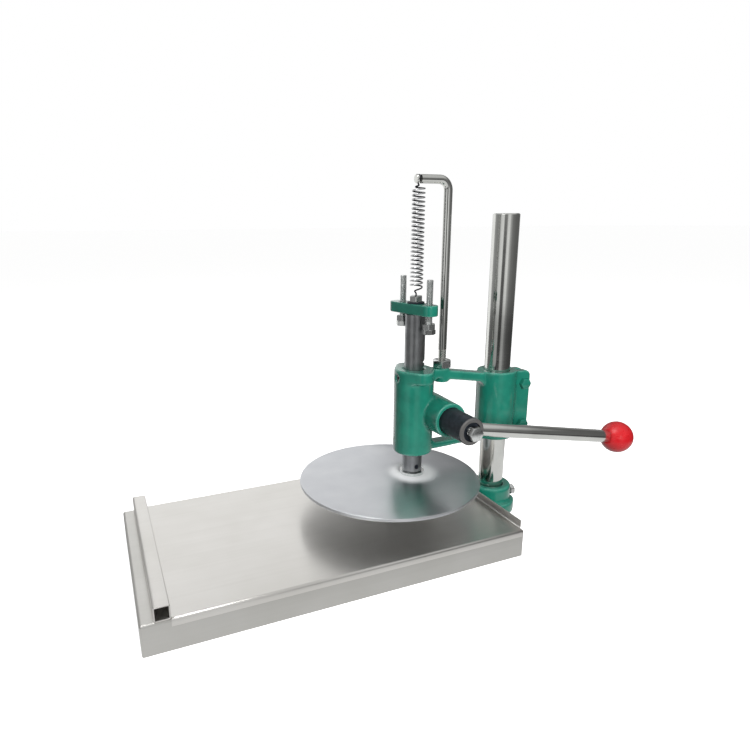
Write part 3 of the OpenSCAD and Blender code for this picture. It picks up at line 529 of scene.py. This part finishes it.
def rounded(path, radius, steps=4, closed=False):
    """Flat path with its corners turned into arcs, each on less than half of the sides it joins"""
    most = 0.49
    path = [Vector(p) for p in path]
    out = []
    for i, corner in enumerate(path):
        if not closed and i in (0, len(path) - 1):
            out.append(corner)
            continue
        to_last, to_next = path[i - 1] - corner, path[(i + 1) % len(path)] - corner
        half = to_last.angle(to_next) / 2
        back = min(radius / math.tan(half), most * to_last.length, most * to_next.length)
        u, v = to_last.normalized(), to_next.normalized()
        centre = corner + (u + v).normalized() * (back / math.cos(half))
        start, end = corner + u * back - centre, corner + v * back - centre
        first = math.atan2(start.y, start.x)
        sweep = (math.atan2(end.y, end.x) - first + math.pi) % TAU - math.pi
        for k in range(steps + 1):
            a = first + sweep * k / steps
            out.append(centre + start.length * Vector((math.cos(a), math.sin(a))))
    return out


def turned(profile, place, sides, ring=False):
    """Piece turned about its own Z from (radius, height) pairs"""
    angles = [TAU * k / sides for k in range(sides)]
    rings = [[(r * math.cos(a), r * math.sin(a), z) for a in angles] for r, z in profile]
    return mesh_of(*skin(rings, ring), place)


# Folded sheets

def folded_sheet(x0, x1, half, top, t, folds, tab=0, tab_half=0):
    """Middle surface of a sheet with flanges, then given its thickness and broken edges.
    folds: side -> (bend radius, depth, way up or down, inset from both ends); two flanges that meet
    share a corner. tab, tab_half: length and half width of a flat tab past the left end"""
    keep, bend_steps, corner_steps = 0.4, 8, 6
    z = top - t / 2
    corners = [Vector((x0, -half)), Vector((x1, -half)), Vector((x1, half)), Vector((x0, half))]
    outs = [Vector((0, -1)), Vector((1, 0)), Vector((0, 1)), Vector((-1, 0))]
    points, faces, ends = [], [], {}

    def add(p, height):
        points.append((p.x, p.y, height))
        return len(points) - 1

    def section(bend, depth):
        mid = bend - t / 2
        arc = [math.pi / 2 * k / bend_steps for k in range(1, bend_steps + 1)]
        return [(mid * math.sin(f), mid * (1 - math.cos(f))) for f in arc] \
            + [(mid, mid + keep), (mid, depth - t / 2)]

    inner = [add(c - keep * (outs[i - 1] + outs[i]), z) for i, c in enumerate(corners)]
    outer = [add(c, z) for c in corners]
    faces.append(tuple(inner))
    for side, label in enumerate(("front", "right", "back", "left")):
        after = (side + 1) % 4
        row = [outer[side], outer[after]]
        if label in folds:
            bend, depth, way, inset = folds[label]
            along = (corners[after] - corners[side]).normalized() * inset
            p, q = corners[side] + along, corners[after] - along
            last = [add(p, z), add(q, z)] if inset else row
            row = [row[0]] + last + [row[1]] if inset else row
            ends[side] = [[], []]
            for out, drop in section(bend, depth):
                ids = [add(v + outs[side] * out, z + way * drop) for v in (p, q)]
                faces.append((last[0], last[1], ids[1], ids[0]))
                ends[side][0].append(ids[0])
                ends[side][1].append(ids[1])
                last = ids
        faces.append(tuple(row) + (inner[after], inner[side]))
    for side in range(4):
        if side in ends and (side - 1) % 4 in ends and folds.get("left"):
            bend, depth = folds["left"][:2]
            strips = [ends[(side - 1) % 4][1]]
            for k in range(1, corner_steps):
                a = math.pi / 2 * k / corner_steps
                way = math.cos(a) * outs[side - 1] + math.sin(a) * outs[side]
                strips.append([add(corners[side] + way * out, z - drop)
                               for out, drop in section(bend, depth)])
            strips.append(ends[side][0])
            for u, v in zip(strips, strips[1:]):
                faces.append((outer[side], u[0], v[0]))
                faces += [(u[k], u[k + 1], v[k + 1], v[k]) for k in range(len(u) - 1)]
    if tab:
        ids = [add(Vector((x0 - tab, y)), z) for y in (tab_half, -tab_half)]
        faces.append((outer[0], outer[3], ids[0], ids[1]))
    sheet = loose_object(mesh_of(points, faces))
    wall = sheet.modifiers.new("wall", "SOLIDIFY")
    wall.thickness, wall.offset, wall.use_even_offset = t * MM, 0, True
    broken = sheet.modifiers.new("broken_edges", "BEVEL")
    broken.width, broken.segments, broken.limit_method = 0.2 * MM, 2, "ANGLE"
    broken.angle_limit = math.radians(50)
    return evaluated(sheet)


def make_bed():
    down = (BED_ROLL, BED_TOP, -1, 0)
    mesh = folded_sheet(BED_LEFT + BED_ROLL, BED_RIGHT, BED_HALF - BED_ROLL, BED_TOP, BED_T,
                        {"front": down, "back": down, "left": down})
    settle("bed_sheet", mesh, "base", WORN_SHEET, "stainless_sheet", ["bed"])


def make_board():
    half = BOARD_HALF - BOARD_BEND
    down = (BOARD_BEND, BOARD_FLANGE, -1, 0)
    lip = (BOARD_BEND, LIP_H + BOARD_T, 1, half - LIP_HALF)
    mesh = folded_sheet(BOARD_LEFT + TUBE, BED_RIGHT - BOARD_BEND, half, BOARD_TOP, BOARD_T,
                        {"front": down, "back": down, "right": lip}, TUBE, half)
    settle("board_sheet", mesh, "board", SHEET, "stainless_sheet", ["sliding_board"])


def make_handle():
    """Square tube with open ends, across the board"""
    def loop(inset, corner, y):
        a, b = inset, TUBE - inset
        path = rounded([(a, a), (b, a), (b, b), (a, b)], corner, 5, True)
        return [(BOARD_LEFT + p.x, y, BOARD_TOP + p.y) for p in path]

    rim = 0.25
    ends = []
    for y in (-BOARD_HALF, BOARD_HALF):
        into = rim if y < 0 else -rim
        ends.append([loop(0, TUBE_CORNER, y + into), loop(rim, TUBE_CORNER - rim, y),
                     loop(TUBE_WALL - rim, TUBE_CORNER - TUBE_WALL + rim, y),
                     loop(TUBE_WALL, TUBE_CORNER - TUBE_WALL, y + into)])
    rings = ends[0] + ends[1][::-1]
    settle("handle_tube", mesh_of(*skin(rings, True)), "board", SHEET, "stainless_sheet",
           ["board_handle"])


# Castings

# How far a point moves to its neighbours' mean in one round of rubbing down; rounds and gain of the
# value that marks proud edges for the paint
RUB, EDGE_ROUNDS, EDGE_GAIN = 0.5, 3, 1.6


def cast(name, node, grain, rounds, body, bores):
    """Copy of a machined solid rounded as a painted casting: voxels of one grain size, corners
    softened, bores opened again, and a paint-edge value kept at each point.
    bores: (point, axis, radius, from, to) with from and to along the axis"""
    pattern = loose_object(merged(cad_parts[node].data.copy(), outwards=False))
    sand = pattern.modifiers.new("sand", "REMESH")
    sand.mode, sand.voxel_size = "VOXEL", grain * MM
    mesh = evaluated(pattern)
    count = len(mesh.vertices)
    at_first = np.empty(count * 3)
    mesh.vertices.foreach_get("co", at_first)
    at_first = at_first.reshape(-1, 3)
    pairs = np.empty(len(mesh.edges) * 2, dtype=np.int64)
    mesh.edges.foreach_get("vertices", pairs)
    pairs = pairs.reshape(-1, 2)
    ends = np.concatenate([pairs, pairs[:, ::-1]])
    near = np.bincount(ends[:, 0], minlength=count)[:, None]

    def rubbed(values, times):
        for _ in range(times):
            around = np.stack([np.bincount(ends[:, 0], column[ends[:, 1]], count)
                               for column in values.T], 1) / near
            values = values + RUB * (around - values)
        return values

    places = rubbed(at_first, rounds)
    for point, axis, radius, low, high in bores:
        axis = np.array(axis)
        arm = places - np.array(point) * MM
        along = arm @ axis
        out = arm - along[:, None] * axis
        far = np.linalg.norm(out, axis=1)
        inside = (far < radius * MM) & (far > 0.5 * radius * MM)
        inside &= (along > low * MM) & (along < high * MM)
        places[inside] += out[inside] * (radius * MM / far[inside] - 1)[:, None]
    mesh.vertices.foreach_set("co", places.ravel())
    mesh.update()
    facing = np.empty(count * 3)
    mesh.vertices.foreach_get("normal", facing)
    proud = ((at_first - places) * facing.reshape(-1, 3)).sum(1)[:, None] / (grain * MM)
    edge = mesh.attributes.new("edge", "FLOAT", "POINT")
    edge.data.foreach_set("value", np.clip(rubbed(proud, EDGE_ROUNDS)[:, 0] * EDGE_GAIN, -1, 1))
    settle(name, mesh, body, ENAMEL, "enamel", [node], sharp=60)


def make_castings():
    up, across = (0, 0, 1), (0, 1, 0)
    ram, shaft, column, post = (0, 0, 0), (PINION_X, 0, PINION_Z), (REACH, 0, 0), (POST_X, 0, 0)
    front, rear = (*STOP_XY, 0), (-STOP_XY[0], -STOP_XY[1], 0)
    fit, column_fit, post_fit, anchor_fit = 0.15, 0.12, 0.1, 0.2
    boss_front, step, past_step, past_boss = -52, 12, 12.3, BOSS_REAR + 2
    head_low, head_high, clamp_high, pad_high, socket_high = 100, 210, 200, 206, 40
    bar_low, bar_high = 270, 290
    cast("head_casting_painted", "head_casting", grain=1.04, rounds=9, body="head", bores=[
        (ram, up, RAM_R + fit, head_low, head_high),
        (shaft, across, SHAFT_R + fit, boss_front, past_step),
        (shaft, across, JOURNAL_R + fit, step, past_boss),
        (column, up, COLUMN_R + column_fit, head_low, clamp_high),
        (post, up, POST_R + post_fit, POST_FOOT, pad_high)])
    cast("base_casting_painted", "base_casting", grain=1.3, rounds=8, body="base", bores=[
        (column, up, COLUMN_R + column_fit, COLUMN_Z + 1, socket_high)])
    cast("stop_crossbar_painted", "stop_crossbar", grain=0.6, rounds=7, body="ram", bores=[
        (front, up, STOP_R + fit, bar_low, bar_high), (rear, up, STOP_R + fit, bar_low, bar_high),
        (ram, up, ANCHOR_R + anchor_fit, bar_low, bar_high)])


# Bars, plate and knob

LEVER_PLACE = at(PINION_X, ROD_Y, PINION_Z, 90 + LEVER_DROP, "Y")
ROD_END = LEVER_L - KNOB_FLAT


def make_column():
    """Bar with a chamfered top and the mark of a lathe centre in it"""
    chamfer, mark_r, mark_step, mark_depth, ease, top = 1.2, 3.2, 2.2, 3, 0.5, COLUMN_TOP
    profile = rounded([(0, COLUMN_Z), (COLUMN_R, COLUMN_Z), (COLUMN_R, top - chamfer),
                       (COLUMN_R - chamfer, top), (mark_r, top), (mark_r / 2, top - mark_step),
                       (0, top - mark_depth)], ease, 3)
    settle("column_bar", turned(profile, at(REACH, 0, 0), 128), "base", CHROME, "chrome_plate",
           ["column"])


def make_plate():
    """Flat disc with a rounded rim; rings on its faces keep their shading even"""
    rings, inner, ease = [0, 30, 60], 90, 1.1
    rim = rounded([(inner, 0), (PLATE_R, 0), (PLATE_R, PLATE_T), (inner, PLATE_T)], ease, 5)
    profile = [(r, 0) for r in rings] + [tuple(p) for p in rim] + [(r, PLATE_T) for r in rings[::-1]]
    settle("press_plate_disc", turned(profile, at(PLATE_X, 0, PLATE_Z), 192), "ram", PLATE,
           "stainless_sheet", ["press_plate"])


def make_lever():
    """Rod with a spigot for the ball"""
    tip, ease = ROD_END + KNOB_SPIGOT_L, 0.7
    profile = rounded([(0, ROD_BACK), (ROD_R, ROD_BACK), (ROD_R, ROD_END), (KNOB_SPIGOT_R, ROD_END),
                       (KNOB_SPIGOT_R, tip), (0, tip)], ease, 3)
    settle("lever_bar", turned(profile, LEVER_PLACE, 96), "lever", CHROME, "chrome_plate",
           ["lever_rod"])


def make_knob():
    """Ball with a faint moulding seam, a flat mouth and a bore for the rod's spigot"""
    steps, mouth_ease, seam_rise, seam_half = 56, 0.05, 0.10, 0.45
    start = math.acos(KNOB_FLAT / KNOB_R) + mouth_ease
    ball = []
    for k in range(steps + 1):
        a = start + (math.pi - start) * k / steps
        r = KNOB_R + seam_rise * math.exp(-((KNOB_R * (a - math.pi / 2)) / seam_half) ** 2)
        ball.append((r * math.sin(a), LEVER_L - r * math.cos(a)))
    bore, bore_end, sink, land = KNOB_SPIGOT_R + 0.1, LEVER_L + 4, 0.5, 0.6
    neck = [(0, bore_end), (bore, bore_end), (bore, ROD_END + sink), (KNOB_SPIGOT_R + sink, ROD_END),
            (ball[0][0] - land, ROD_END)]
    profile = neck + ball[:-1] + [(0, LEVER_L + KNOB_R)]
    settle("ball_knob_moulded", turned(profile, LEVER_PLACE, 96), "lever", RED, "red_plastic",
           ["ball_knob"], sharp=50)


def make_washers():
    anchor_t, thrust_t, ease = 2, 1.5, 0.3
    for name, node, finish, slot, body, place, inner, outer, t in (
            ("anchor_washer_ring", "anchor_washer", BLACK, "black_steel", "ram",
             at(0, 0, ANCHOR_SEAT - anchor_t), ANCHOR_R + 0.3, ANCHOR_R + 5, anchor_t),
            ("thrust_washer_ring", "thrust_washer", ZINC, "bright_steel", "lever",
             at(PINION_X, BOSS_REAR + 0.2, PINION_Z, -90), JOURNAL_R + 0.05, JOURNAL_R + 5,
             thrust_t)):
        profile = rounded([(inner, 0), (outer, 0), (outer, t), (inner, t)], ease, 3, True)
        settle(name, turned(profile, place, 72, True), body, finish, slot, [node])


# Fasteners

# Angles of the points from one hexagon corner to the next, and how far from the middle of a flat its
# straight part runs, in degrees
HEX_PART, FLAT_RUN = (-1.8, 0, 1.8, 9, 17, 24, 30, 36, 43, 51), 28.8
HEX = [math.radians(60 * corner + a) for corner in range(6) for a in HEX_PART]
# Slope of the chamfer on heads and nuts, and a thread's depth as a share of its pitch
CHAMFER, THREAD_DEPTH = math.tan(math.radians(28)), 0.61


def hex_ring(af, height, cone=0.0, rise=0.0):
    """Ring on a hexagon with eased corners; its corners drop by rise where they pass the cone"""
    ring = []
    for a in HEX:
        off = math.degrees(a) % 60 - 30
        off = math.copysign(min(abs(off), FLAT_RUN), off)
        r = af / 2 / math.cos(math.radians(off))
        ring.append((r * math.cos(a), r * math.sin(a), height + rise * max(0, r - cone)))
    return ring


def round_ring(r, height):
    return [(r * math.cos(a), r * math.sin(a), height) for a in HEX]


def thread_r(d, pitch, z, a, fade):
    """Radius of a screw thread at one height and angle; fade 0 leaves the plain bar"""
    flank, root = 1.7, 0.35
    phase = (z / pitch - a / TAU) % 1
    crest = min(1, max(0, flank * (1 - abs(2 * phase - 1)) - root))
    return d / 2 - THREAD_DEPTH * pitch * (1 - crest) * fade


def thread_rings(d, pitch, low, high):
    """Rings of a screw thread from its run-out at low to its chamfered tip at high"""
    per_pitch = 8
    steps = round((high - low) / pitch * per_pitch)
    rings = []
    for i in range(steps + 1):
        z = low + (high - low) * i / steps
        ring = []
        for a in HEX:
            r = thread_r(d, pitch, z, a, min(1, (z - low) / pitch))
            r = min(r, d / 2 - THREAD_DEPTH * pitch + (high - z))
            ring.append((r * math.cos(a), r * math.sin(a), z))
        rings.append(ring)
    return rings


def hex_bolt(d, length, af, head, pitch, plain, hole=0):
    """Bolt about Z: chamfered head below 0 on a washer face, plain shank, then thread.
    hole: depth of a small hole down the head"""
    cone, face, face_t, step, ease, hole_r = 0.465 * af, 0.475 * af, 0.4, 0.1, 0.25, 1.1
    rings = [round_ring(0, hole - head)]
    if hole:
        rings += [round_ring(hole_r, hole - head), round_ring(hole_r, -head)]
    rings += [round_ring(cone, -head), hex_ring(af, -head, cone, CHAMFER),
              hex_ring(af, -face_t - step), round_ring(face, -face_t), round_ring(face, 0),
              round_ring(d / 2 + ease, 0), round_ring(d / 2, ease), round_ring(d / 2, plain)]
    return skin(rings + thread_rings(d, pitch, plain, length) + [round_ring(0, length)])


def hex_nut(d, af, t):
    """Nut from z 0 to t, chamfered on both faces, with a countersunk bore"""
    cone, r, sink = 0.475 * af, d / 2 + 0.05, 0.5
    rings = [round_ring(cone, 0), hex_ring(af, 0, cone, CHAMFER), hex_ring(af, t, cone, -CHAMFER),
             round_ring(cone, t), round_ring(r + sink, t), round_ring(r, t - sink),
             round_ring(r, sink), round_ring(r + sink, 0)]
    return skin(rings, True)


def socket_screw(head_r, head_t, r, length, socket_af, socket_t):
    """Countersunk screw below z 0 with a hexagon socket; a set screw has equal radii"""
    pitch, run_out, ease, mouth, mouth_t, pit = 1.0, 0.5, 0.2, 0.62 * socket_af, 0.15, 0.4
    rings = [round_ring(0, -socket_t - pit), hex_ring(socket_af, -socket_t),
             hex_ring(socket_af, -mouth_t), round_ring(mouth, 0), round_ring(head_r - ease, 0),
             round_ring(head_r, -ease), round_ring(r, -head_t)]
    thread = thread_rings(2 * r, pitch, head_t + run_out, length)
    rings += [[(x, y, -z) for x, y, z in ring] for ring in thread]
    return skin(rings + [round_ring(0, -length)])


def make_spring_post():
    """Bent rod: threaded foot in the head, one bend, and an arm with a groove for the hook"""
    sides, per_mm, bend_steps = 48, 5, 18
    pitch, chamfer, straight, lip, ease, groove = 1.5, 0.8, 4, 0.5, 0.2, GROOVE_W / 2
    angles = [TAU * k / sides for k in range(sides)]
    foot_r, thread_l = POST_R - chamfer, POST_THREAD - POST_FOOT
    rings = [[(POST_X + foot_r * math.cos(a), foot_r * math.sin(a), POST_FOOT) for a in angles]]
    steps = round(thread_l * per_mm)
    for i in range(1, steps + 1):
        z = POST_FOOT + thread_l * i / steps
        fade = min(1, (POST_THREAD - z) / pitch)
        radii = [min(thread_r(2 * POST_R, pitch, z, a, fade), foot_r + z - POST_FOOT) for a in angles]
        rings.append([(POST_X + r * math.cos(a), r * math.sin(a), z) for r, a in zip(radii, angles)])
    line = rounded([(POST_X, POST_THREAD), (POST_X, HOOK_Z), (POST_END, HOOK_Z)], POST_BEND,
                   bend_steps)
    arm = [POST_X - POST_BEND - straight, groove + lip, groove, groove - ease, ease - groove, -groove,
           -groove - lip, POST_END + chamfer]
    line = [line[0] + Vector((0, lip)), line[1] - Vector((0, straight))] + line[1:-1] \
        + [Vector((x, HOOK_Z)) for x in arm] + [line[-1]]
    for i, p in enumerate(line):
        way = (line[min(i + 1, len(line) - 1)] - line[max(i - 1, 0)]).normalized()
        side = Vector((way.y, -way.x))
        r = POST_R
        if i == len(line) - 1:
            r = foot_r
        elif p.y == HOOK_Z and abs(p.x) < groove:
            r = GROOVE_R
        ring = [(r * math.cos(a), r * math.sin(a)) for a in angles]
        rings.append([(p.x + u * side.x, v, p.y + u * side.y) for u, v in ring])
    settle("spring_post_bar", mesh_of(*skin(rings)), "head", CHROME, "chrome_plate",
           ["spring_post"])


def grown(name, base, inputs, build):
    """Plain mesh that a node tree grows on a base mesh and gives its finish.
    inputs: name -> (kind of socket, value); build: adds nodes to the tree and gives back the last"""
    tree = bpy.data.node_groups.new(name, "GeometryNodeTree")
    tree.interface.new_socket("Base", in_out="INPUT", socket_type="NodeSocketGeometry")
    values = {}
    for label, (kind, value) in inputs.items():
        socket = tree.interface.new_socket(label, in_out="INPUT", socket_type="NodeSocket" + kind)
        values[socket.identifier] = value
    tree.interface.new_socket("Piece", in_out="OUTPUT", socket_type="NodeSocketGeometry")
    given = put(tree, "NodeGroupInput").outputs
    real = put(tree, "GeometryNodeRealizeInstances", {0: build(tree, given)})
    done = put(tree, "GeometryNodeSetMaterial", {"Geometry": real, "Material": given["Finish"]})
    put(tree, "NodeGroupOutput", {0: done})
    source = loose_object(base)
    growth = source.modifiers.new(name, "NODES")
    growth.node_group = tree
    for key, value in values.items():
        growth[key] = value
    return evaluated(source)


def set_on_points(name, shape, places, turn, finish):
    """One fastener set at each of several points by a node tree, as one plain mesh"""
    fastener = loose_object(mesh_of(*shape))
    points = bpy.data.meshes.new(name + "_points")
    points.from_pydata([Vector(p) * MM for p in places], [], [])

    def build(tree, given):
        one = put(tree, "GeometryNodeObjectInfo", {"Object": given["Fastener"]})
        return put(tree, "GeometryNodeInstanceOnPoints", {
            "Points": given["Base"], "Instance": one.outputs["Geometry"], "Rotation": given["Turn"]})

    mesh = grown(name, points, {
        "Fastener": ("Object", fastener), "Turn": ("Rotation", [math.radians(v) for v in turn]),
        "Finish": ("Material", finish)}, build)
    bpy.data.objects.remove(fastener)
    return mesh


def make_fasteners():
    x, y = STOP_XY
    stop_bolt = dict(d=2 * STOP_R, af=14, head=6, pitch=1.25, plain=8)
    stop_nut = hex_nut(d=2 * STOP_R, af=14, t=6.5)
    for name, node, body, place, shape in (
            ("stop_bolt_front_screw", "stop_bolt_front", "stop_front",
             at(x, y, STOP_FRONT_Z, 22, "Z"), hex_bolt(length=STOP_L, **stop_bolt)),
            ("stop_bolt_rear_screw", "stop_bolt_rear", "stop_rear",
             at(-x, -y, STOP_REAR_Z, 14, "Z"), hex_bolt(length=STOP_L - 2, **stop_bolt)),
            ("stop_nut_front_hex", "stop_nut_front", "stop_front", at(x, y, STOP_FRONT_Z), stop_nut),
            ("stop_nut_rear_hex", "stop_nut_rear", "stop_rear", at(-x, -y, STOP_REAR_Z), stop_nut),
            ("spring_post_nut_hex", "spring_post_nut", "head", at(POST_X, 0, POST_NUT_Z),
             hex_nut(d=2 * POST_R, af=21, t=9.5)),
            ("spring_anchor_bolt", "spring_anchor", "ram", at(0, 0, ANCHOR_SEAT, 180),
             hex_bolt(d=2 * ANCHOR_R, length=32.5, af=14, head=7, pitch=1.5, plain=12, hole=6)),
            ("column_set_screw", "column_set_bolt", "base", at(SET_BOLT_X, 0, SET_BOLT_Z, -90, "Y"),
             hex_bolt(d=8, length=15.4, af=13, head=6.5, pitch=1.25, plain=0.6)),
            ("lever_lock_screw", "lever_lock_bolt", "lever",
             at(PINION_X, LOCK_BOLT_Y, PINION_Z, -90),
             hex_bolt(d=10, length=14, af=15, head=6.5, pitch=1.5, plain=2))):
        settle(name, mesh_of(*shape, place), body, ZINC, "bright_steel", [node])

    for name, node, body, finish, slot, place, shape in (
            ("guide_grub_screw", "guide_screw", "head", RAM_STEEL, "bright_steel",
             at(GUIDE_X, 0, GUIDE_Z, -90, "Y"),
             socket_screw(head_r=4, head_t=0.3, r=4, length=9, socket_af=4, socket_t=4.5)),
            ("hub_grub_screw", "hub_set_screw", "ram", BLACK, "black_steel",
             at(0, HUB_SCREW_Y, HUB_SCREW_Z, 90),
             socket_screw(head_r=3, head_t=0.3, r=3, length=3.4, socket_af=3, socket_t=1.7))):
        settle(name, mesh_of(*shape, place), body, finish, slot, [node])

    upright, across = (0, 0, 0), (-90, 0, 0)
    for name, node, body, finish, slot, turn, places, shape in (
            ("clamp_bolt_pair", "clamp_bolts", "head", ENAMEL, "enamel", across,
             [(CLAMP_X, -EAR_FACE, z) for z in CLAMP_ZS],
             hex_bolt(d=8, length=33.5, af=13, head=5.3, pitch=1.25, plain=12)),
            ("clamp_nut_pair", "clamp_nuts", "head", ENAMEL, "enamel", across,
             [(CLAMP_X, EAR_FACE, z) for z in CLAMP_ZS], hex_nut(d=8, af=13, t=6.5)),
            ("bed_screw_set", "bed_screws", "base", ZINC, "bright_steel", upright,
             [(sx, sy, BED_TOP) for sx in BED_SCREW_XS for sy in BED_SCREW_YS],
             socket_screw(head_r=5.5, head_t=2.5, r=3, length=14, socket_af=3, socket_t=1))):
        mesh = set_on_points(name, shape, places, turn, finish)
        settle(name, mesh, body, finish, slot, [node])


# Wound spring

def spring_line():
    """Middle line of the wire: tail in the anchor, flared coil, hook round the post's groove"""
    per_turn, lead, hook_steps = 28, 21, 30
    tail_depth, tail, rise = 5.1, 1.8, 3.5
    hook_start, hook_sweep, hook_r = 40, 260, GROOVE_R + WIRE_R + 0.2

    def ease(v):
        return v * v * (3 - 2 * v)

    def polar(r, turn, z):
        return r * math.cos(TAU * turn), r * math.sin(TAU * turn), z

    line = [(0, 0, ANCHOR_TOP - tail_depth), (0, 0, ANCHOR_TOP), (0, 0, ANCHOR_TOP + tail * 0.6)]
    for i in range(1, lead):
        t = i / lead
        line.append(polar(COIL_R * ease(t), (i - lead) / per_turn,
                          ANCHOR_TOP + tail + (COIL_LOW - ANCHOR_TOP - tail) * t))
    whole = COIL_TURNS * per_turn
    for i in range(whole + 1):
        line.append(polar(COIL_R, i / per_turn, COIL_LOW + (COIL_HIGH - COIL_LOW) * i / whole))
    for i in range(1, lead + 1):
        t = i / lead
        line.append(polar(COIL_R * (1 - ease(t)), i / per_turn, COIL_HIGH + rise * t))
    for i in range(hook_steps + 1):
        a = math.radians(hook_start + hook_sweep * i / hook_steps)
        line.append((0, hook_r * math.sin(a), HOOK_Z - hook_r * math.cos(a)))
    return line


def make_spring():
    line = spring_line()
    base = bpy.data.meshes.new("spring_line")
    base.from_pydata([Vector(p) * MM for p in line], [(i, i + 1) for i in range(len(line) - 1)], [])

    def build(tree, given):
        curve = put(tree, "GeometryNodeMeshToCurve", {0: given["Base"]})
        section = put(tree, "GeometryNodeCurvePrimitiveCircle", {
            "Resolution": given["Wire sides"], "Radius": given["Wire radius"]})
        return put(tree, "GeometryNodeCurveToMesh", {"Curve": curve, "Profile Curve": section,
                                                     "Fill Caps": True})

    mesh = merged(grown("return_spring_wire", base, {
        "Wire radius": ("Float", WIRE_R * MM), "Wire sides": ("Int", 12),
        "Finish": ("Material", WIRE)}, build))
    spring = settle("return_spring_wire", mesh, None, WIRE, "bright_steel", ["return_spring"],
                    sharp=60)
    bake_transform(spring)


# Floor

def make_floor():
    """White paper under the press, which takes its shadow and doesn't show in its metal"""
    size = 40
    paper = bpy.data.meshes.new("paper")
    paper.from_pydata([(-size, -size, 0), (size, -size, 0), (size, size, 0), (-size, size, 0)], [],
                      [(0, 1, 2, 3)])
    paper.materials.append(WHITE)
    floor = loose_object(paper)
    floor.visible_glossy = floor.visible_diffuse = False


set_camera()
set_lights()
make_floor()
make_castings()
make_bed()
make_board()
make_handle()
make_column()
make_plate()
make_lever()
make_knob()
make_washers()
make_spring_post()
make_fasteners()
make_spring()

# Solids that keep their own shape and take a finish
for node, finish in (("ram", RAM_STEEL), ("plate_hub", ZINC), ("pinion_shaft", BLACK),
                     ("retaining_ring", BLACK)):
    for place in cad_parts[node].material_slots:
        place.material = finish
